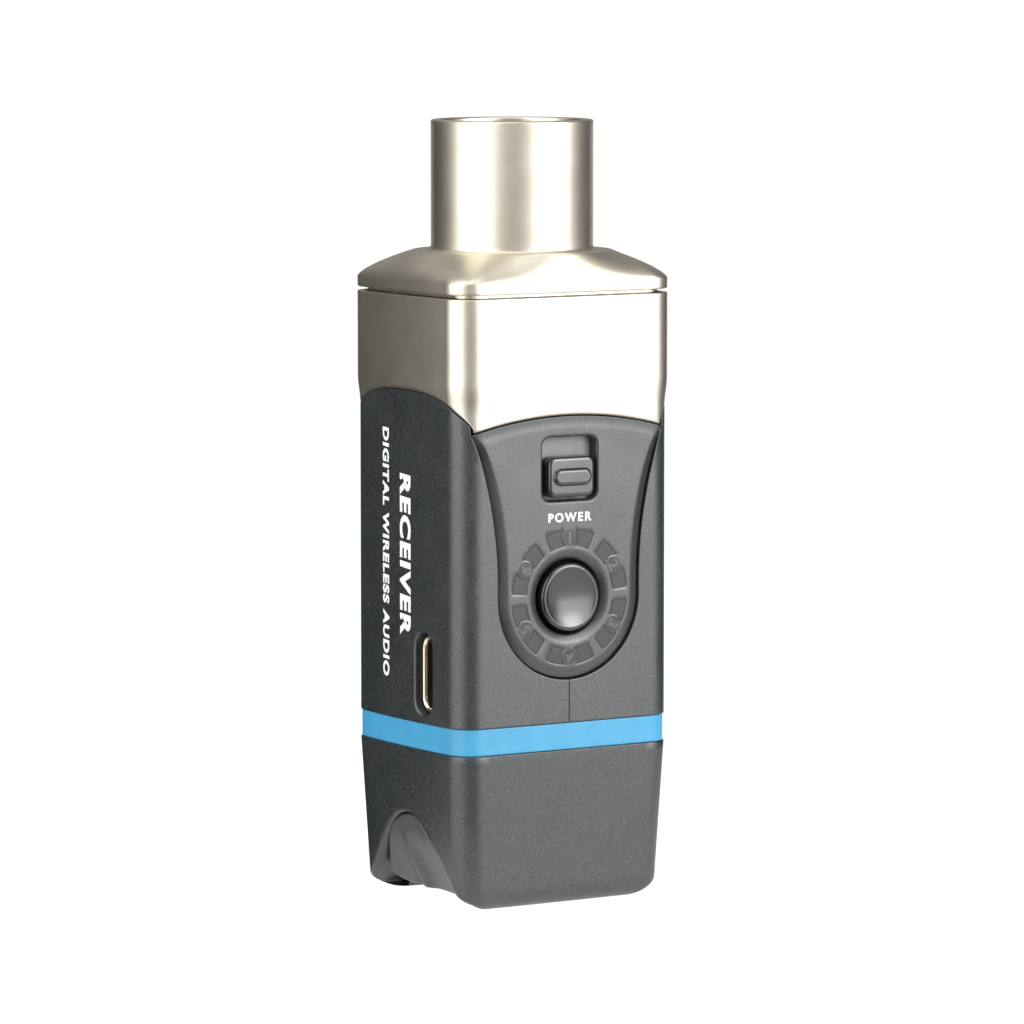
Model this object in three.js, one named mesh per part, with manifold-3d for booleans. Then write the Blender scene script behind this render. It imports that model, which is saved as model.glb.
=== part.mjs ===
// Plug-on wireless audio receiver with a male XLR barrel, in millimetres, +Z up.
// The control panel faces -Y and the charging socket faces -X.
// The origin is the middle of the flat base.
import * as THREE from "three";
import { mergeVertices } from "three/addons/utils/BufferGeometryUtils.js";
import Module from "manifold-3d";

const wasm = await Module();
wasm.setup();

// Driving dimensions ----------------------------------------------------------------

const body = { width: 29.2, depth: 25, corner: 3.1, sideCrown: 0.35, frontCrown: 0.1, wall: 1.9 };
const height = { bandBottom: 18.33, bandTop: 21.49, shellTop: 70.97, capBottom: 71.4, capRim: 72.6,
  plateau: 75.8, total: 91 };
const gap = 0.03;
const sleeve = { outer: 9.5, inner: 8.3, flange: 10.6, flangeTop: 72.6, foot: 10, footTop: 76.3, footPocket: 0.25,
  rimRound: 0.3 };
const pin = { radius: 1.2, circle: 4.4, bottom: 68.5, top: 88.4 };
const insert = { radius: 8.25, top: 77.5 };
const cap = { overhang: 0.3, plateauRadius: 11.7, shoulderPower: 2 / 3 };
const shroud = { proud: 0.3, inner: 0.5, flareStart: 57.7, flareEnd: 61,
  frontApex: 57.25, frontRadius: 49, sideApex: 60.08, tip: 55.6, sideReach: 12.25, sidePower: 2.4 };
const panel = { radius: 9.5, centre: 36.15, straightTop: 38, tipX: 12.9, topGap: 0.12,
  proud: 0.12, back: -11.65 };
const frontFace = -(body.depth / 2 + body.frontCrown + panel.proud);
const ring = { inner: 5.7, outer: 7.83, reach: 24, digitHalf: 9, count: 6, front: -12.55, base: -11.6, back: -8.1 };
const knob = { radius: 3.95, hole: 4.4, sink: 5.25, sinkDepth: 0.4, proud: 0.3, dish: 0.5, rim: 3.35,
  flange: 5.1, stem: 1.6 };
const opening = { width: 7.85, height: 7.9, centre: 51.07, corner: 1.3 };
const slider = { width: 6.2, height: 4.66, centre: 50.15, travel: 2.2, proud: 0.5, ribLength: 5, ribWidth: 1.8,
  ribProud: 0.4, apronWidth: 8.3, apronBottom: 44.5, apronTop: 55.5, apronFront: -11.3, apronBack: -10.5 };
const usb = { y: -4.5, z: 27.25, height: 8.94, width: 3.26, mouth: -14, back: -7, wall: 0.3,
  recessHeight: 10, recessWidth: 3.85, tongueHeight: 6.7, tongueThickness: 0.7 };
const board = { front: -7.15, back: -6.15, halfWidth: 10.4, bottom: 22.6, top: 66.5 };
const boardScrew = { x: 8.5, low: 25, middle: 46, high: 63, post: 1.9, shank: 0.8, head: 1.6, headTop: -5.1, tip: -10 };
const capScrew = { x: 10.3, y: 8.2, shank: 0.8, head: 1.4, headBottom: 69.8, headTop: 70.95, tip: 74 };
const base = { draft: 0.0505, fillet: 2.2, floor: 2, wall: 1.9 };
const arch = { apex: 11.2, halfWidth: 11, depth: 6, clearance: 0.25, insertBottom: 0.9, insertHalf: 13.2 };
const scoop = { radius: 14, topX: 13.5, topZ: 11, bottomX: 9.6, bottomZ: 0.9 };
const battery = { halfWidth: 9.6, front: -1.6, back: 7.6, bottom: 25, top: 60, edge: 1.5 };

const curveSegments = 4;
const roundSegments = 40;
const degrees = Math.PI / 180;

// Solids ----------------------------------------------------------------------------

// Turns a closed geometry into a solid, dropping the empty triangles at poles and seams.
function solid(geometry) {
  const bare = geometry.clone();
  bare.deleteAttribute("normal");
  bare.deleteAttribute("uv");
  const merged = mergeVertices(bare, 1e-4);
  const corners = merged.index.array;
  const kept = [];
  for (let i = 0; i < corners.length; i += 3) {
    const [a, b, c] = [corners[i], corners[i + 1], corners[i + 2]];
    if (a !== b && b !== c && c !== a) kept.push(a, b, c);
  }
  const vertices = Float32Array.from(merged.attributes.position.array);
  if (signedVolume(vertices, kept) < 0) kept.reverse();
  const mesh = new wasm.Mesh({ numProp: 3, vertProperties: vertices, triVerts: Uint32Array.from(kept) });
  return new wasm.Manifold(mesh);
}

function signedVolume(vertices, corners) {
  const point = (i) => new THREE.Vector3().fromArray(vertices, 3 * corners[i]);
  let total = 0;
  for (let i = 0; i < corners.length; i += 3) total += point(i).dot(point(i + 1).cross(point(i + 2)));
  return total / 6;
}

function geometryOf(manifold) {
  const mesh = manifold.getMesh();
  const geometry = new THREE.BufferGeometry();
  geometry.setAttribute("position", new THREE.BufferAttribute(mesh.vertProperties, 3));
  geometry.setIndex(new THREE.BufferAttribute(mesh.triVerts, 1));
  geometry.computeVertexNormals();
  return geometry;
}

const join = (first, ...others) => others.reduce((whole, part) => whole.add(part), first);
const cut = (first, ...others) => others.reduce((whole, part) => whole.subtract(part), first);

// The shape as straight edges, without the doubled or in-line points where its curves meet.
function polygon(shape, segments) {
  const points = shape.getPoints(segments).filter((point, i, all) =>
    point.distanceTo(all[(i + 1) % all.length]) > 1e-3);
  const corners = points.filter((point, i, all) => {
    const before = all.at(i - 1);
    const after = all[(i + 1) % all.length];
    const bend = point.clone().sub(before).normalize().cross(after.clone().sub(point).normalize());
    return Math.abs(bend) > 1e-6;
  });
  return new THREE.Shape(corners);
}

function extruded(shape, depth, segments, steps = 1) {
  return new THREE.ExtrudeGeometry(polygon(shape, segments), { depth, steps, bevelEnabled: false });
}

// A shape drawn in X and Y, standing from z0 up to z1.
function upright(shape, z0, z1, segments = curveSegments) {
  return solid(extruded(shape, z1 - z0, segments).translate(0, 0, z0));
}

// A shape drawn in X and Z, running through the depth from y0 to y1.
function throughDepth(shape, y0, y1, segments = curveSegments) {
  const turn = new THREE.Matrix4().makeBasis(
    new THREE.Vector3(1, 0, 0), new THREE.Vector3(0, 0, 1), new THREE.Vector3(0, -1, 0));
  return solid(extruded(shape, y1 - y0, segments).applyMatrix4(turn).translate(0, y1, 0));
}

// A shape drawn in Y and Z, running across the width from x0 to x1.
function throughWidth(shape, x0, x1, segments = curveSegments) {
  const turn = new THREE.Matrix4().makeBasis(
    new THREE.Vector3(0, 1, 0), new THREE.Vector3(0, 0, 1), new THREE.Vector3(1, 0, 0));
  return solid(extruded(shape, x1 - x0, segments).applyMatrix4(turn).translate(x0, 0, 0));
}

function box(x0, x1, y0, y1, z0, z1) {
  const geometry = new THREE.BoxGeometry(x1 - x0, y1 - y0, z1 - z0);
  return solid(geometry.translate((x0 + x1) / 2, (y0 + y1) / 2, (z0 + z1) / 2));
}

function uprightRod(radius, x, y, z0, z1, sides = 14) {
  const geometry = new THREE.CylinderGeometry(radius, radius, z1 - z0, sides);
  return solid(geometry.rotateX(Math.PI / 2).translate(x, y, (z0 + z1) / 2));
}

function depthRod(radius, x, z, y0, y1, sides = 14) {
  const geometry = new THREE.CylinderGeometry(radius, radius, y1 - y0, sides);
  return solid(geometry.translate(x, (y0 + y1) / 2, z));
}

// A profile of [radius, height] pairs turned about the Z axis.
function turned(profile, sides = roundSegments) {
  const points = profile.map(([radius, level]) => new THREE.Vector2(radius, level));
  return solid(new THREE.LatheGeometry(points, sides).rotateX(Math.PI / 2));
}

// Outlines --------------------------------------------------------------------------

function roundedRectangle(halfX, halfY, corner, centreX = 0, centreY = 0) {
  const shape = new THREE.Shape();
  const quarter = Math.PI / 2;
  const signs = [[1, 1], [-1, 1], [-1, -1], [1, -1]];
  signs.forEach(([signX, signY], i) => {
    shape.absarc(centreX + signX * (halfX - corner), centreY + signY * (halfY - corner), corner,
      i * quarter, (i + 1) * quarter);
  });
  shape.closePath();
  return shape;
}

// The body's plan: rounded corners with slightly crowned sides, grown or shrunk by grow.
function outline(grow = 0) {
  const halfX = body.width / 2 + grow;
  const halfY = body.depth / 2 + grow;
  const corner = Math.max(body.corner + grow, 0.8);
  const shape = new THREE.Shape();
  const quarter = Math.PI / 2;
  shape.moveTo(halfX, corner - halfY);
  shape.quadraticCurveTo(halfX + 2 * body.sideCrown, 0, halfX, halfY - corner);
  shape.absarc(halfX - corner, halfY - corner, corner, 0, quarter);
  shape.quadraticCurveTo(0, halfY + 2 * body.frontCrown, corner - halfX, halfY);
  shape.absarc(corner - halfX, halfY - corner, corner, quarter, 2 * quarter);
  shape.quadraticCurveTo(-halfX - 2 * body.sideCrown, 0, -halfX, corner - halfY);
  shape.absarc(corner - halfX, corner - halfY, corner, 2 * quarter, 3 * quarter);
  shape.quadraticCurveTo(0, -halfY - 2 * body.frontCrown, halfX - corner, -halfY);
  shape.absarc(halfX - corner, corner - halfY, corner, 3 * quarter, 4 * quarter);
  return shape;
}

// Stacks an outline through levels of { z, inset, round }; round 1 is a full circle.
function loft(shape, levels, circleRadius = 1) {
  const steps = levels.length - 1;
  const geometry = extruded(shape, steps, curveSegments, steps);
  const position = geometry.attributes.position;
  for (let i = 0; i < position.count; i++) {
    const [x, y] = [position.getX(i), position.getY(i)];
    const { z, inset = 0, round = 0 } = levels[Math.round(position.getZ(i))];
    const angle = Math.atan2(y, x);
    position.setXYZ(i,
      THREE.MathUtils.lerp(x * (1 - 2 * inset / body.width), circleRadius * Math.cos(angle), round),
      THREE.MathUtils.lerp(y * (1 - 2 * inset / body.depth), circleRadius * Math.sin(angle), round), z);
  }
  return solid(geometry);
}

// The shield-shaped control panel: a half-round foot, flared shoulders and an arched top.
function shield(grow = 0) {
  const r = panel.radius + grow;
  const { straightTop, centre } = panel;
  const tipX = panel.tipX + grow;
  const topRadius = shroud.frontRadius + grow - panel.topGap;
  const topCentre = shroud.frontApex - shroud.frontRadius;
  const halfAngle = Math.asin(tipX / topRadius);
  const tipZ = topCentre + topRadius * Math.cos(halfAngle);
  const shape = new THREE.Shape();
  shape.moveTo(-r, centre);
  shape.absarc(0, centre, r, Math.PI, 2 * Math.PI);
  shape.lineTo(r, straightTop);
  shape.bezierCurveTo(r, 44.5, 11 + grow, 51, tipX, tipZ);
  shape.absarc(0, topCentre, topRadius, Math.PI / 2 - halfAngle, Math.PI / 2 + halfAngle);
  shape.bezierCurveTo(-11 - grow, 51, -r, 44.5, -r, straightTop);
  shape.closePath();
  return shape;
}

// What lies below the metal shroud's lower edge on the front, drawn in X and Z.
function belowFrontEdge(lower = 0) {
  const radius = shroud.frontRadius;
  const shape = new THREE.Shape();
  const halfAngle = Math.asin(body.width / 2 / radius);
  const centre = shroud.frontApex - radius - lower;
  shape.moveTo(-body.width / 2, 40);
  shape.lineTo(body.width / 2, 40);
  shape.absarc(0, centre, radius, Math.PI / 2 - halfAngle, Math.PI / 2 + halfAngle);
  shape.closePath();
  return shape;
}

// What lies below the shroud's lower edge on the sides, drawn in Y and Z.
function belowSideEdge(lower = 0) {
  const { sideApex, sideReach, sidePower, tip } = shroud;
  const shape = new THREE.Shape();
  const steps = 16;
  shape.moveTo(-sideReach, 40);
  shape.lineTo(sideReach, 40);
  for (let i = 0; i <= steps; i++) {
    const across = Math.cos(Math.PI * i / steps);
    const rise = Math.sqrt(1 - Math.abs(across) ** sidePower);
    shape.lineTo(across * sideReach, tip + (sideApex - tip) * rise - lower);
  }
  shape.closePath();
  return shape;
}

// The finger arch in each side of the base cap, drawn in Y and Z and open at the bottom.
function archShape(grow = 0) {
  const foot = arch.halfWidth + grow;
  const top = arch.apex + grow;
  const shape = new THREE.Shape();
  shape.moveTo(-foot, 0);
  shape.lineTo(-foot, -1);
  shape.lineTo(foot, -1);
  shape.lineTo(foot, 0);
  shape.bezierCurveTo(6.5 + grow, 4.5, 5 + grow, top, 0, top);
  shape.bezierCurveTo(-5 - grow, top, -6.5 - grow, 4.5, -foot, 0);
  return shape;
}

// One window of the channel ring, drawn in X and Z, between two angles in degrees.
function ringWindow(from, to, shrink = 0) {
  const { inner, outer } = ring;
  const middle = (inner + outer) / 2;
  const trim = shrink / middle;
  const [start, end] = [from * degrees + trim, to * degrees - trim];
  const shape = new THREE.Shape();
  shape.absarc(0, panel.centre, outer - shrink, start, end);
  shape.absarc(0, panel.centre, inner + shrink, end, start, true);
  shape.closePath();
  return shape;
}

// Twelve windows, two beside each channel number.
function ringWindows(y0, y1, shrink = 0) {
  const windows = [];
  for (let i = 0; i < ring.count; i++) {
    const middle = 90 - i * 360 / ring.count;
    windows.push(throughDepth(ringWindow(middle - ring.reach, middle - ring.digitHalf, shrink), y0, y1, 3));
    windows.push(throughDepth(ringWindow(middle + ring.digitHalf, middle + ring.reach, shrink), y0, y1, 3));
  }
  return windows;
}

const stadium = (length, width, centreY, centreZ) =>
  roundedRectangle(width / 2, length / 2, width / 2 - 0.01, centreY, centreZ);

// Metal top -------------------------------------------------------------------------

function xlrSleeve() {
  const { outer, inner, flange, flangeTop, foot, footTop, rimRound } = sleeve;
  const bottom = height.capBottom;
  const seat = height.plateau - sleeve.footPocket + gap;
  return turned([
    [inner, bottom], [flange, bottom], [flange, flangeTop], [outer, flangeTop], [outer, seat],
    [foot, seat], [foot, height.plateau], [foot - 0.35, height.plateau + 0.15], [outer, footTop],
    [outer, height.total - rimRound], [outer - rimRound, height.total],
    [inner + rimRound, height.total], [inner, height.total - rimRound], [inner, bottom]]);
}

const pinAngles = [30, 150, 270].map((angle) => angle * degrees);
const pinPlace = (i) => [pin.circle * Math.cos(pinAngles[i]), pin.circle * Math.sin(pinAngles[i])];

function xlrInsert() {
  const disc = uprightRod(insert.radius, 0, 0, height.capBottom + gap, insert.top, roundSegments);
  const holes = pinAngles.map((_, i) => uprightRod(pin.radius + gap, ...pinPlace(i), 70, 80));
  return cut(disc, ...holes);
}

function xlrPin(i) {
  const [x, y] = pinPlace(i);
  const { radius, bottom, top } = pin;
  const shape = turned([[0, bottom], [radius, bottom], [radius, top - 0.8], [radius * 0.7, top - 0.2],
    [0, top]], 14);
  return shape.translate([x, y, 0]);
}

function topCap() {
  const steps = 6;
  const levels = [{ z: height.capBottom }];
  for (let i = 0; i <= steps; i++) {
    const round = i / steps;
    levels.push({ z: height.capRim + (height.plateau - height.capRim) * round ** cap.shoulderPower, round });
  }
  const shell = loft(outline(cap.overhang), levels, cap.plateauRadius);
  const bore = uprightRod(sleeve.outer + 0.05, 0, 0, 70, 80, roundSegments);
  const counterbore = uprightRod(sleeve.flange + 0.1, 0, 0, 70, sleeve.flangeTop + 0.1, roundSegments);
  const footPocket = uprightRod(sleeve.foot + 0.05, 0, 0, height.plateau - sleeve.footPocket, 80, roundSegments);
  return cut(shell, bore, counterbore, footPocket, ...capScrewPlaces().map(([x, y]) =>
    uprightRod(capScrew.shank + 0.05, x, y, 70, capScrew.tip + 0.2)));
}

function capScrewPlaces() {
  const { x, y } = capScrew;
  return [[x, y], [-x, y], [-x, -y], [x, -y]];
}

function capScrewAt([x, y]) {
  const { shank, head, headBottom, headTop, tip } = capScrew;
  return join(uprightRod(head, x, y, headBottom, headTop), uprightRod(shank, x, y, headBottom + 0.2, tip, 10));
}

function neckPlate() {
  const plate = upright(outline(-0.9), height.shellTop + 0.05, height.capBottom - 0.05);
  const pinHoles = pinAngles.map((_, i) => uprightRod(pin.radius + 0.2, ...pinPlace(i), 70, 72));
  const screwHoles = capScrewPlaces().map(([x, y]) => uprightRod(capScrew.shank + 0.1, x, y, 70, 72));
  return cut(plate, ...pinHoles, ...screwHoles);
}

// A tool that is everything below the shroud's scalloped edge.
function belowShroud(lower = 0) {
  const front = throughDepth(belowFrontEdge(lower), -20, 20, 8);
  const side = belowSideEdge(lower);
  return join(front, throughWidth(side, 11, 20), throughWidth(side, -20, -11));
}

function metalShroud() {
  const { proud, inner, flareStart, flareEnd } = shroud;
  const outside = loft(outline(proud), [{ z: 54, inset: proud }, { z: flareStart, inset: proud },
    { z: flareEnd }, { z: height.shellTop }]);
  return cut(outside, upright(outline(-inner), 50, 75), belowShroud());
}

// The space the shroud needs in the outside of the two shells.
function shroudSeat() {
  const band = cut(upright(outline(2), 50, 72), upright(outline(-shroud.inner - 0.05), 49, 73));
  return cut(band, belowShroud(0.05));
}

// Plastic body ----------------------------------------------------------------------

function wholeShell() {
  const bottom = height.bandTop + gap;
  const outside = cut(upright(outline(), bottom, height.shellTop), shroudSeat());
  const inside = upright(outline(-body.wall), bottom - 1, height.shellTop + 1);
  const panelSeat = throughDepth(shield(0.12), -20, panel.back + gap, 8);
  const ringHole = depthRod(ring.outer + 0.7, 0, panel.centre, -20, -10, roundSegments);
  const sliderHole = box(-slider.apronWidth / 2 - 0.2, slider.apronWidth / 2 + 0.2, -20, -10,
    slider.apronBottom - 0.3, slider.apronTop + slider.travel + 0.3);
  const usbHole = throughWidth(stadium(usb.recessHeight, usb.recessWidth, usb.y, usb.z), -20, -10);
  return cut(join(cut(outside, inside), ...boardPosts()), panelSeat, ringHole, sliderHole, usbHole);
}

function boardPosts() {
  return boardScrewPlaces().map(([x, z]) => cut(
    depthRod(boardScrew.post, x, z, -body.depth / 2 + 1.5, board.front - gap),
    depthRod(boardScrew.shank + 0.05, x, z, boardScrew.tip - 0.2, 0)));
}

function boardScrewPlaces() {
  const { x, low, middle, high } = boardScrew;
  return [[x, low], [-x, middle], [-x, high], [x, high]];
}

function halfShell(side) {
  const seam = 0.025;
  const half = side < 0 ? box(-30, -seam, -30, 30, 0, 100) : box(seam, 30, -30, 30, 0, 100);
  return wholeShell().intersect(half);
}

function frontPanel() {
  const plate = throughDepth(shield(), -20, panel.back, 8)
    .intersect(upright(outline(panel.proud), 20, 60));
  const { width, height: tall, corner, centre } = opening;
  const window = throughDepth(roundedRectangle(width / 2, tall / 2, corner, 0, centre), -20, -10);
  const hole = depthRod(knob.hole, 0, panel.centre, -20, -10, roundSegments);
  const sinkGeometry = new THREE.CylinderGeometry(knob.hole, knob.sink, knob.sinkDepth, roundSegments);
  const sink = solid(sinkGeometry.translate(0, frontFace + knob.sinkDepth / 2 - 0.02, panel.centre));
  return cut(plate, window, hole, sink, ...ringWindows(-20, -10));
}

function accentBand() {
  const inset = -0.15;
  return cut(upright(outline(inset), height.bandBottom + gap, height.bandTop - gap),
    upright(outline(-body.wall - 0.3), 10, 30));
}

const draftInset = (z) => base.draft * (height.bandBottom - z);

function bottomCap() {
  const levels = [0, 0.1, 0.3, 0.6, 1, 1.5, base.fillet, height.bandBottom].map((z) => {
    const below = Math.max(base.fillet - z, 0);
    return { z, inset: draftInset(z) + base.fillet - Math.sqrt(base.fillet ** 2 - below ** 2) };
  });
  const cavity = loft(outline(-base.wall), [base.floor, height.bandBottom + 1].map((z) =>
    ({ z, inset: draftInset(z) })));
  const arches = [1, -1].map((side) => throughWidth(archShape(),
    Math.min(side * (body.width / 2 - arch.depth), side * 20),
    Math.max(side * (body.width / 2 - arch.depth), side * 20), 8));
  return cut(loft(outline(), levels), cavity, ...arches);
}

// The pale grip piece seen in both arches, hollowed by a leaning scoop on each side.
function gripInsert() {
  const bar = throughWidth(archShape(-arch.clearance), -arch.insertHalf, arch.insertHalf, 8);
  const inner = body.width / 2 - arch.depth + 0.15;
  const overFloor = box(-inner, inner, -20, 20, -2, base.floor + 0.15);
  const underside = box(-20, 20, -20, 20, -2, arch.insertBottom);
  return cut(bar, overFloor, underside, scoopTool(1), scoopTool(-1));
}

function scoopTool(side) {
  const { radius, topX, topZ, bottomX, bottomZ } = scoop;
  const lean = Math.atan2(topX - bottomX, topZ - bottomZ);
  const middle = [(topX + bottomX) / 2, (topZ + bottomZ) / 2];
  const rod = new THREE.CylinderGeometry(radius, radius, 60, 48).rotateX(Math.PI / 2).rotateY(side * lean);
  return solid(rod.translate(side * (middle[0] + radius * Math.cos(lean)), 0, middle[1] - radius * Math.sin(lean)));
}

// Controls --------------------------------------------------------------------------

function sliderCap() {
  const { width, height: tall, centre, ribLength, ribWidth, ribProud, proud, apronFront } = slider;
  const face = frontFace - proud;
  const block = throughDepth(roundedRectangle(width / 2, tall / 2, 0.7, 0, centre), face, apronFront - gap);
  const rib = throughDepth(roundedRectangle(ribLength / 2, ribWidth / 2, ribWidth / 2 - 0.01, 0, centre),
    face - ribProud, face + 0.2);
  return join(block, rib);
}

function sliderApron() {
  const { apronWidth, apronBottom, apronTop, apronFront, apronBack } = slider;
  return box(-apronWidth / 2, apronWidth / 2, apronFront, apronBack, apronBottom, apronTop);
}

const lever = { half: 0.7, depth: -8, slack: 0.2 };

function switchLever() {
  const { half, depth } = lever;
  return box(-half, half, slider.apronBack + gap, depth, slider.centre - half, slider.centre + half);
}

function slideSwitchBody() {
  const { half, depth, slack } = lever;
  const middle = slider.centre + slider.travel / 2;
  const block = box(-2, 2, -9.5, board.front - gap, middle - 4.2, middle + 4.2);
  const slot = box(-half - slack, half + slack, -12, depth + slack,
    slider.centre - half - slack, slider.centre + half + slider.travel + slack);
  return cut(block, slot);
}

function channelButton() {
  const { radius, proud, dish, rim, flange, stem } = knob;
  const face = -frontFace + proud;
  const profile = [[0, 9.35], [stem, 9.35], [stem, 10.9], [flange, 10.9], [flange, 11.5], [radius, 11.5],
    [radius, face - 0.35], [radius - 0.15, face - 0.1], [radius - 0.4, face], [rim, face - 0.05],
    [rim * 0.66, face - dish * 0.6], [rim * 0.33, face - dish * 0.92], [0, face - dish]];
  return turned(profile).rotate([90, 0, 0]).translate([0, 0, panel.centre]);
}

const plunger = { radius: 1.2, front: -9.3, back: -7.95, slack: 0.1 };

function tactPlunger() {
  return depthRod(plunger.radius, 0, panel.centre, plunger.front, plunger.back);
}

function tactSwitchBody() {
  const z = panel.centre;
  const block = box(-3, 3, -8.7, board.front - gap, z - 3, z + 3);
  return cut(block, depthRod(plunger.radius + plunger.slack, 0, z, -10, -7.45));
}

function lightRing() {
  const disc = depthRod(ring.outer + 0.35, 0, panel.centre, ring.base, ring.back, roundSegments);
  const middle = depthRod(ring.inner - 0.25, 0, panel.centre, -20, 0, roundSegments);
  return join(cut(disc, middle), ...ringWindows(ring.front, ring.base + 0.2, 0.06));
}

function channelLed(i) {
  const angle = (90 - i * 360 / ring.count) * degrees;
  const middle = (ring.inner + ring.outer) / 2;
  const [x, z] = [middle * Math.cos(angle), panel.centre + middle * Math.sin(angle)];
  return box(x - 0.8, x + 0.8, -7.95, board.front - gap, z - 0.4, z + 0.4);
}

// Electronics -----------------------------------------------------------------------

function usbShell() {
  const { height: tall, width, y, z, mouth, back, wall } = usb;
  return cut(throughWidth(stadium(tall, width, y, z), mouth, back),
    throughWidth(stadium(tall - 2 * wall, width - 2 * wall, y, z), mouth - 1, back + 1));
}

function usbTongue() {
  const { height: tall, width, y, z, mouth, back, wall, tongueHeight, tongueThickness } = usb;
  const play = 2 * (wall + gap);
  const block = throughWidth(stadium(tall - play, width - play, y, z), back - 1.2, back);
  const blade = box(mouth + 0.7, back - 1, y - tongueThickness / 2, y + tongueThickness / 2,
    z - tongueHeight / 2, z + tongueHeight / 2);
  return join(block, blade);
}

function mainBoard() {
  const { front, back, halfWidth, bottom, top } = board;
  const plate = box(-halfWidth, halfWidth, front, back, bottom, top);
  return cut(plate, ...boardScrewPlaces().map(([x, z]) => depthRod(boardScrew.shank + 0.2, x, z, -8, -5)));
}

function boardScrewAt([x, z]) {
  const { shank, head, headTop, tip } = boardScrew;
  return join(depthRod(head, x, z, board.back + gap, headTop), depthRod(shank, x, z, tip, headTop - 0.2, 10));
}

function radioShield() {
  const back = -4.1;
  const wall = 0.2;
  return cut(box(-6, 6, board.back + gap, back, 44, 58),
    box(-6 + wall, 6 - wall, board.back - 1, back - wall, 44 + wall, 58 - wall));
}

const chipAntenna = () => box(-3, 3, board.back + gap, -5, 61.5, 63.5);

function batteryCell() {
  const { halfWidth, front, back, bottom, top, edge } = battery;
  const middle = (bottom + top) / 2;
  return throughDepth(roundedRectangle(halfWidth, (top - bottom) / 2, edge, 0, middle), front, back);
}

const batteryPad = () => box(-8.5, 8.5, battery.back + 0.1, 10.4, battery.bottom + 3, battery.top - 3);

// Assembly --------------------------------------------------------------------------

const finish = (color, roughness, metalness = 0) => new THREE.MeshStandardMaterial({ color, roughness, metalness });
const satinNickel = finish(0xc9c0ab, 0.32, 1);
const blackPlastic = finish(0x2f3133, 0.55);
const panelPlastic = finish(0x34373a, 0.5);
const bluePlastic = finish(0x4fb3e6, 0.4);
const greyPlastic = finish(0x6f7478, 0.5);
const smokyPlastic = finish(0x22262a, 0.25);
const contactMetal = finish(0xd5cfc0, 0.25, 1);
const circuitGreen = finish(0x1e5b3a, 0.5);
const foilSilver = finish(0xb8bcc0, 0.4, 0.6);
const foamBlack = finish(0x18191a, 0.95);
const ledWhite = finish(0xf2f0e2, 0.4);

const group = new THREE.Group();

function add(name, shape, material) {
  const mesh = new THREE.Mesh(geometryOf(shape), material);
  mesh.name = name;
  group.add(mesh);
}

add("xlr_sleeve", xlrSleeve(), satinNickel);
add("xlr_insert", xlrInsert(), blackPlastic);
pinAngles.forEach((_, i) => add(`xlr_pin_${i + 1}`, xlrPin(i), contactMetal));
add("top_cap", topCap(), satinNickel);
add("neck_plate", neckPlate(), satinNickel);
capScrewPlaces().forEach((place, i) => add(`cap_screw_${i + 1}`, capScrewAt(place), contactMetal));
add("metal_shroud", metalShroud(), satinNickel);

add("left_shell", halfShell(-1), blackPlastic);
add("right_shell", halfShell(1), blackPlastic);
add("front_panel", frontPanel(), panelPlastic);
add("accent_band", accentBand(), bluePlastic);
add("bottom_cap", bottomCap(), blackPlastic);
add("grip_insert", gripInsert(), greyPlastic);

add("power_slider_cap", sliderCap(), blackPlastic);
add("slider_apron", sliderApron(), greyPlastic);
add("switch_lever", switchLever(), blackPlastic);
add("slide_switch_body", slideSwitchBody(), contactMetal);
add("channel_button", channelButton(), blackPlastic);
add("tact_plunger", tactPlunger(), blackPlastic);
add("tact_switch_body", tactSwitchBody(), blackPlastic);
add("channel_light_ring", lightRing(), smokyPlastic);
for (let i = 0; i < ring.count; i++) add(`channel_led_${i + 1}`, channelLed(i), ledWhite);

add("usb_shell", usbShell(), contactMetal);
add("usb_tongue", usbTongue(), blackPlastic);
add("main_board", mainBoard(), circuitGreen);
boardScrewPlaces().forEach((place, i) => add(`board_screw_${i + 1}`, boardScrewAt(place), contactMetal));
add("radio_shield", radioShield(), foilSilver);
add("chip_antenna", chipAntenna(), ledWhite);
add("battery_cell", batteryCell(), foilSilver);
add("battery_pad", batteryPad(), foamBlack);

export default group;
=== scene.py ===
import math

import bmesh
import bpy
import numpy as np
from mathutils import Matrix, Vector
from mathutils.geometry import delaunay_2d_cdt


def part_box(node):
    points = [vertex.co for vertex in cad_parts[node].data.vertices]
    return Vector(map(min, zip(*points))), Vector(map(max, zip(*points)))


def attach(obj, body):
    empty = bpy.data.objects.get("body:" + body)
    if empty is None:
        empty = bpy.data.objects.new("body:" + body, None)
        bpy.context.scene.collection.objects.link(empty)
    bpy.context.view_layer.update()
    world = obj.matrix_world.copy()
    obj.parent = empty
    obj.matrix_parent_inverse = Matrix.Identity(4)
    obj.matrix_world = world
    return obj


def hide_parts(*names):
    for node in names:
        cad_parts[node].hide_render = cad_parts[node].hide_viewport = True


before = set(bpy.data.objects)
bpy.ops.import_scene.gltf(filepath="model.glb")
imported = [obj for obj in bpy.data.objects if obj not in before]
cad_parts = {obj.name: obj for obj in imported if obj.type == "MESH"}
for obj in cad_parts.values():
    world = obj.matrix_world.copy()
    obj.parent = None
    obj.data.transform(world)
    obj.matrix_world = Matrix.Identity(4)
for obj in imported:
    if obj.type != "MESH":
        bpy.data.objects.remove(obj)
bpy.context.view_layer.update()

# All sizes below are in millimetres; build() turns them into metres.
MM = 0.001


def span(node):
    """Lowest and highest corner of a CAD node, in millimetres."""
    low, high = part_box(node)
    return np.array(low) / MM, np.array(high) / MM


# Sizes and places ---------------------

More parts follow.
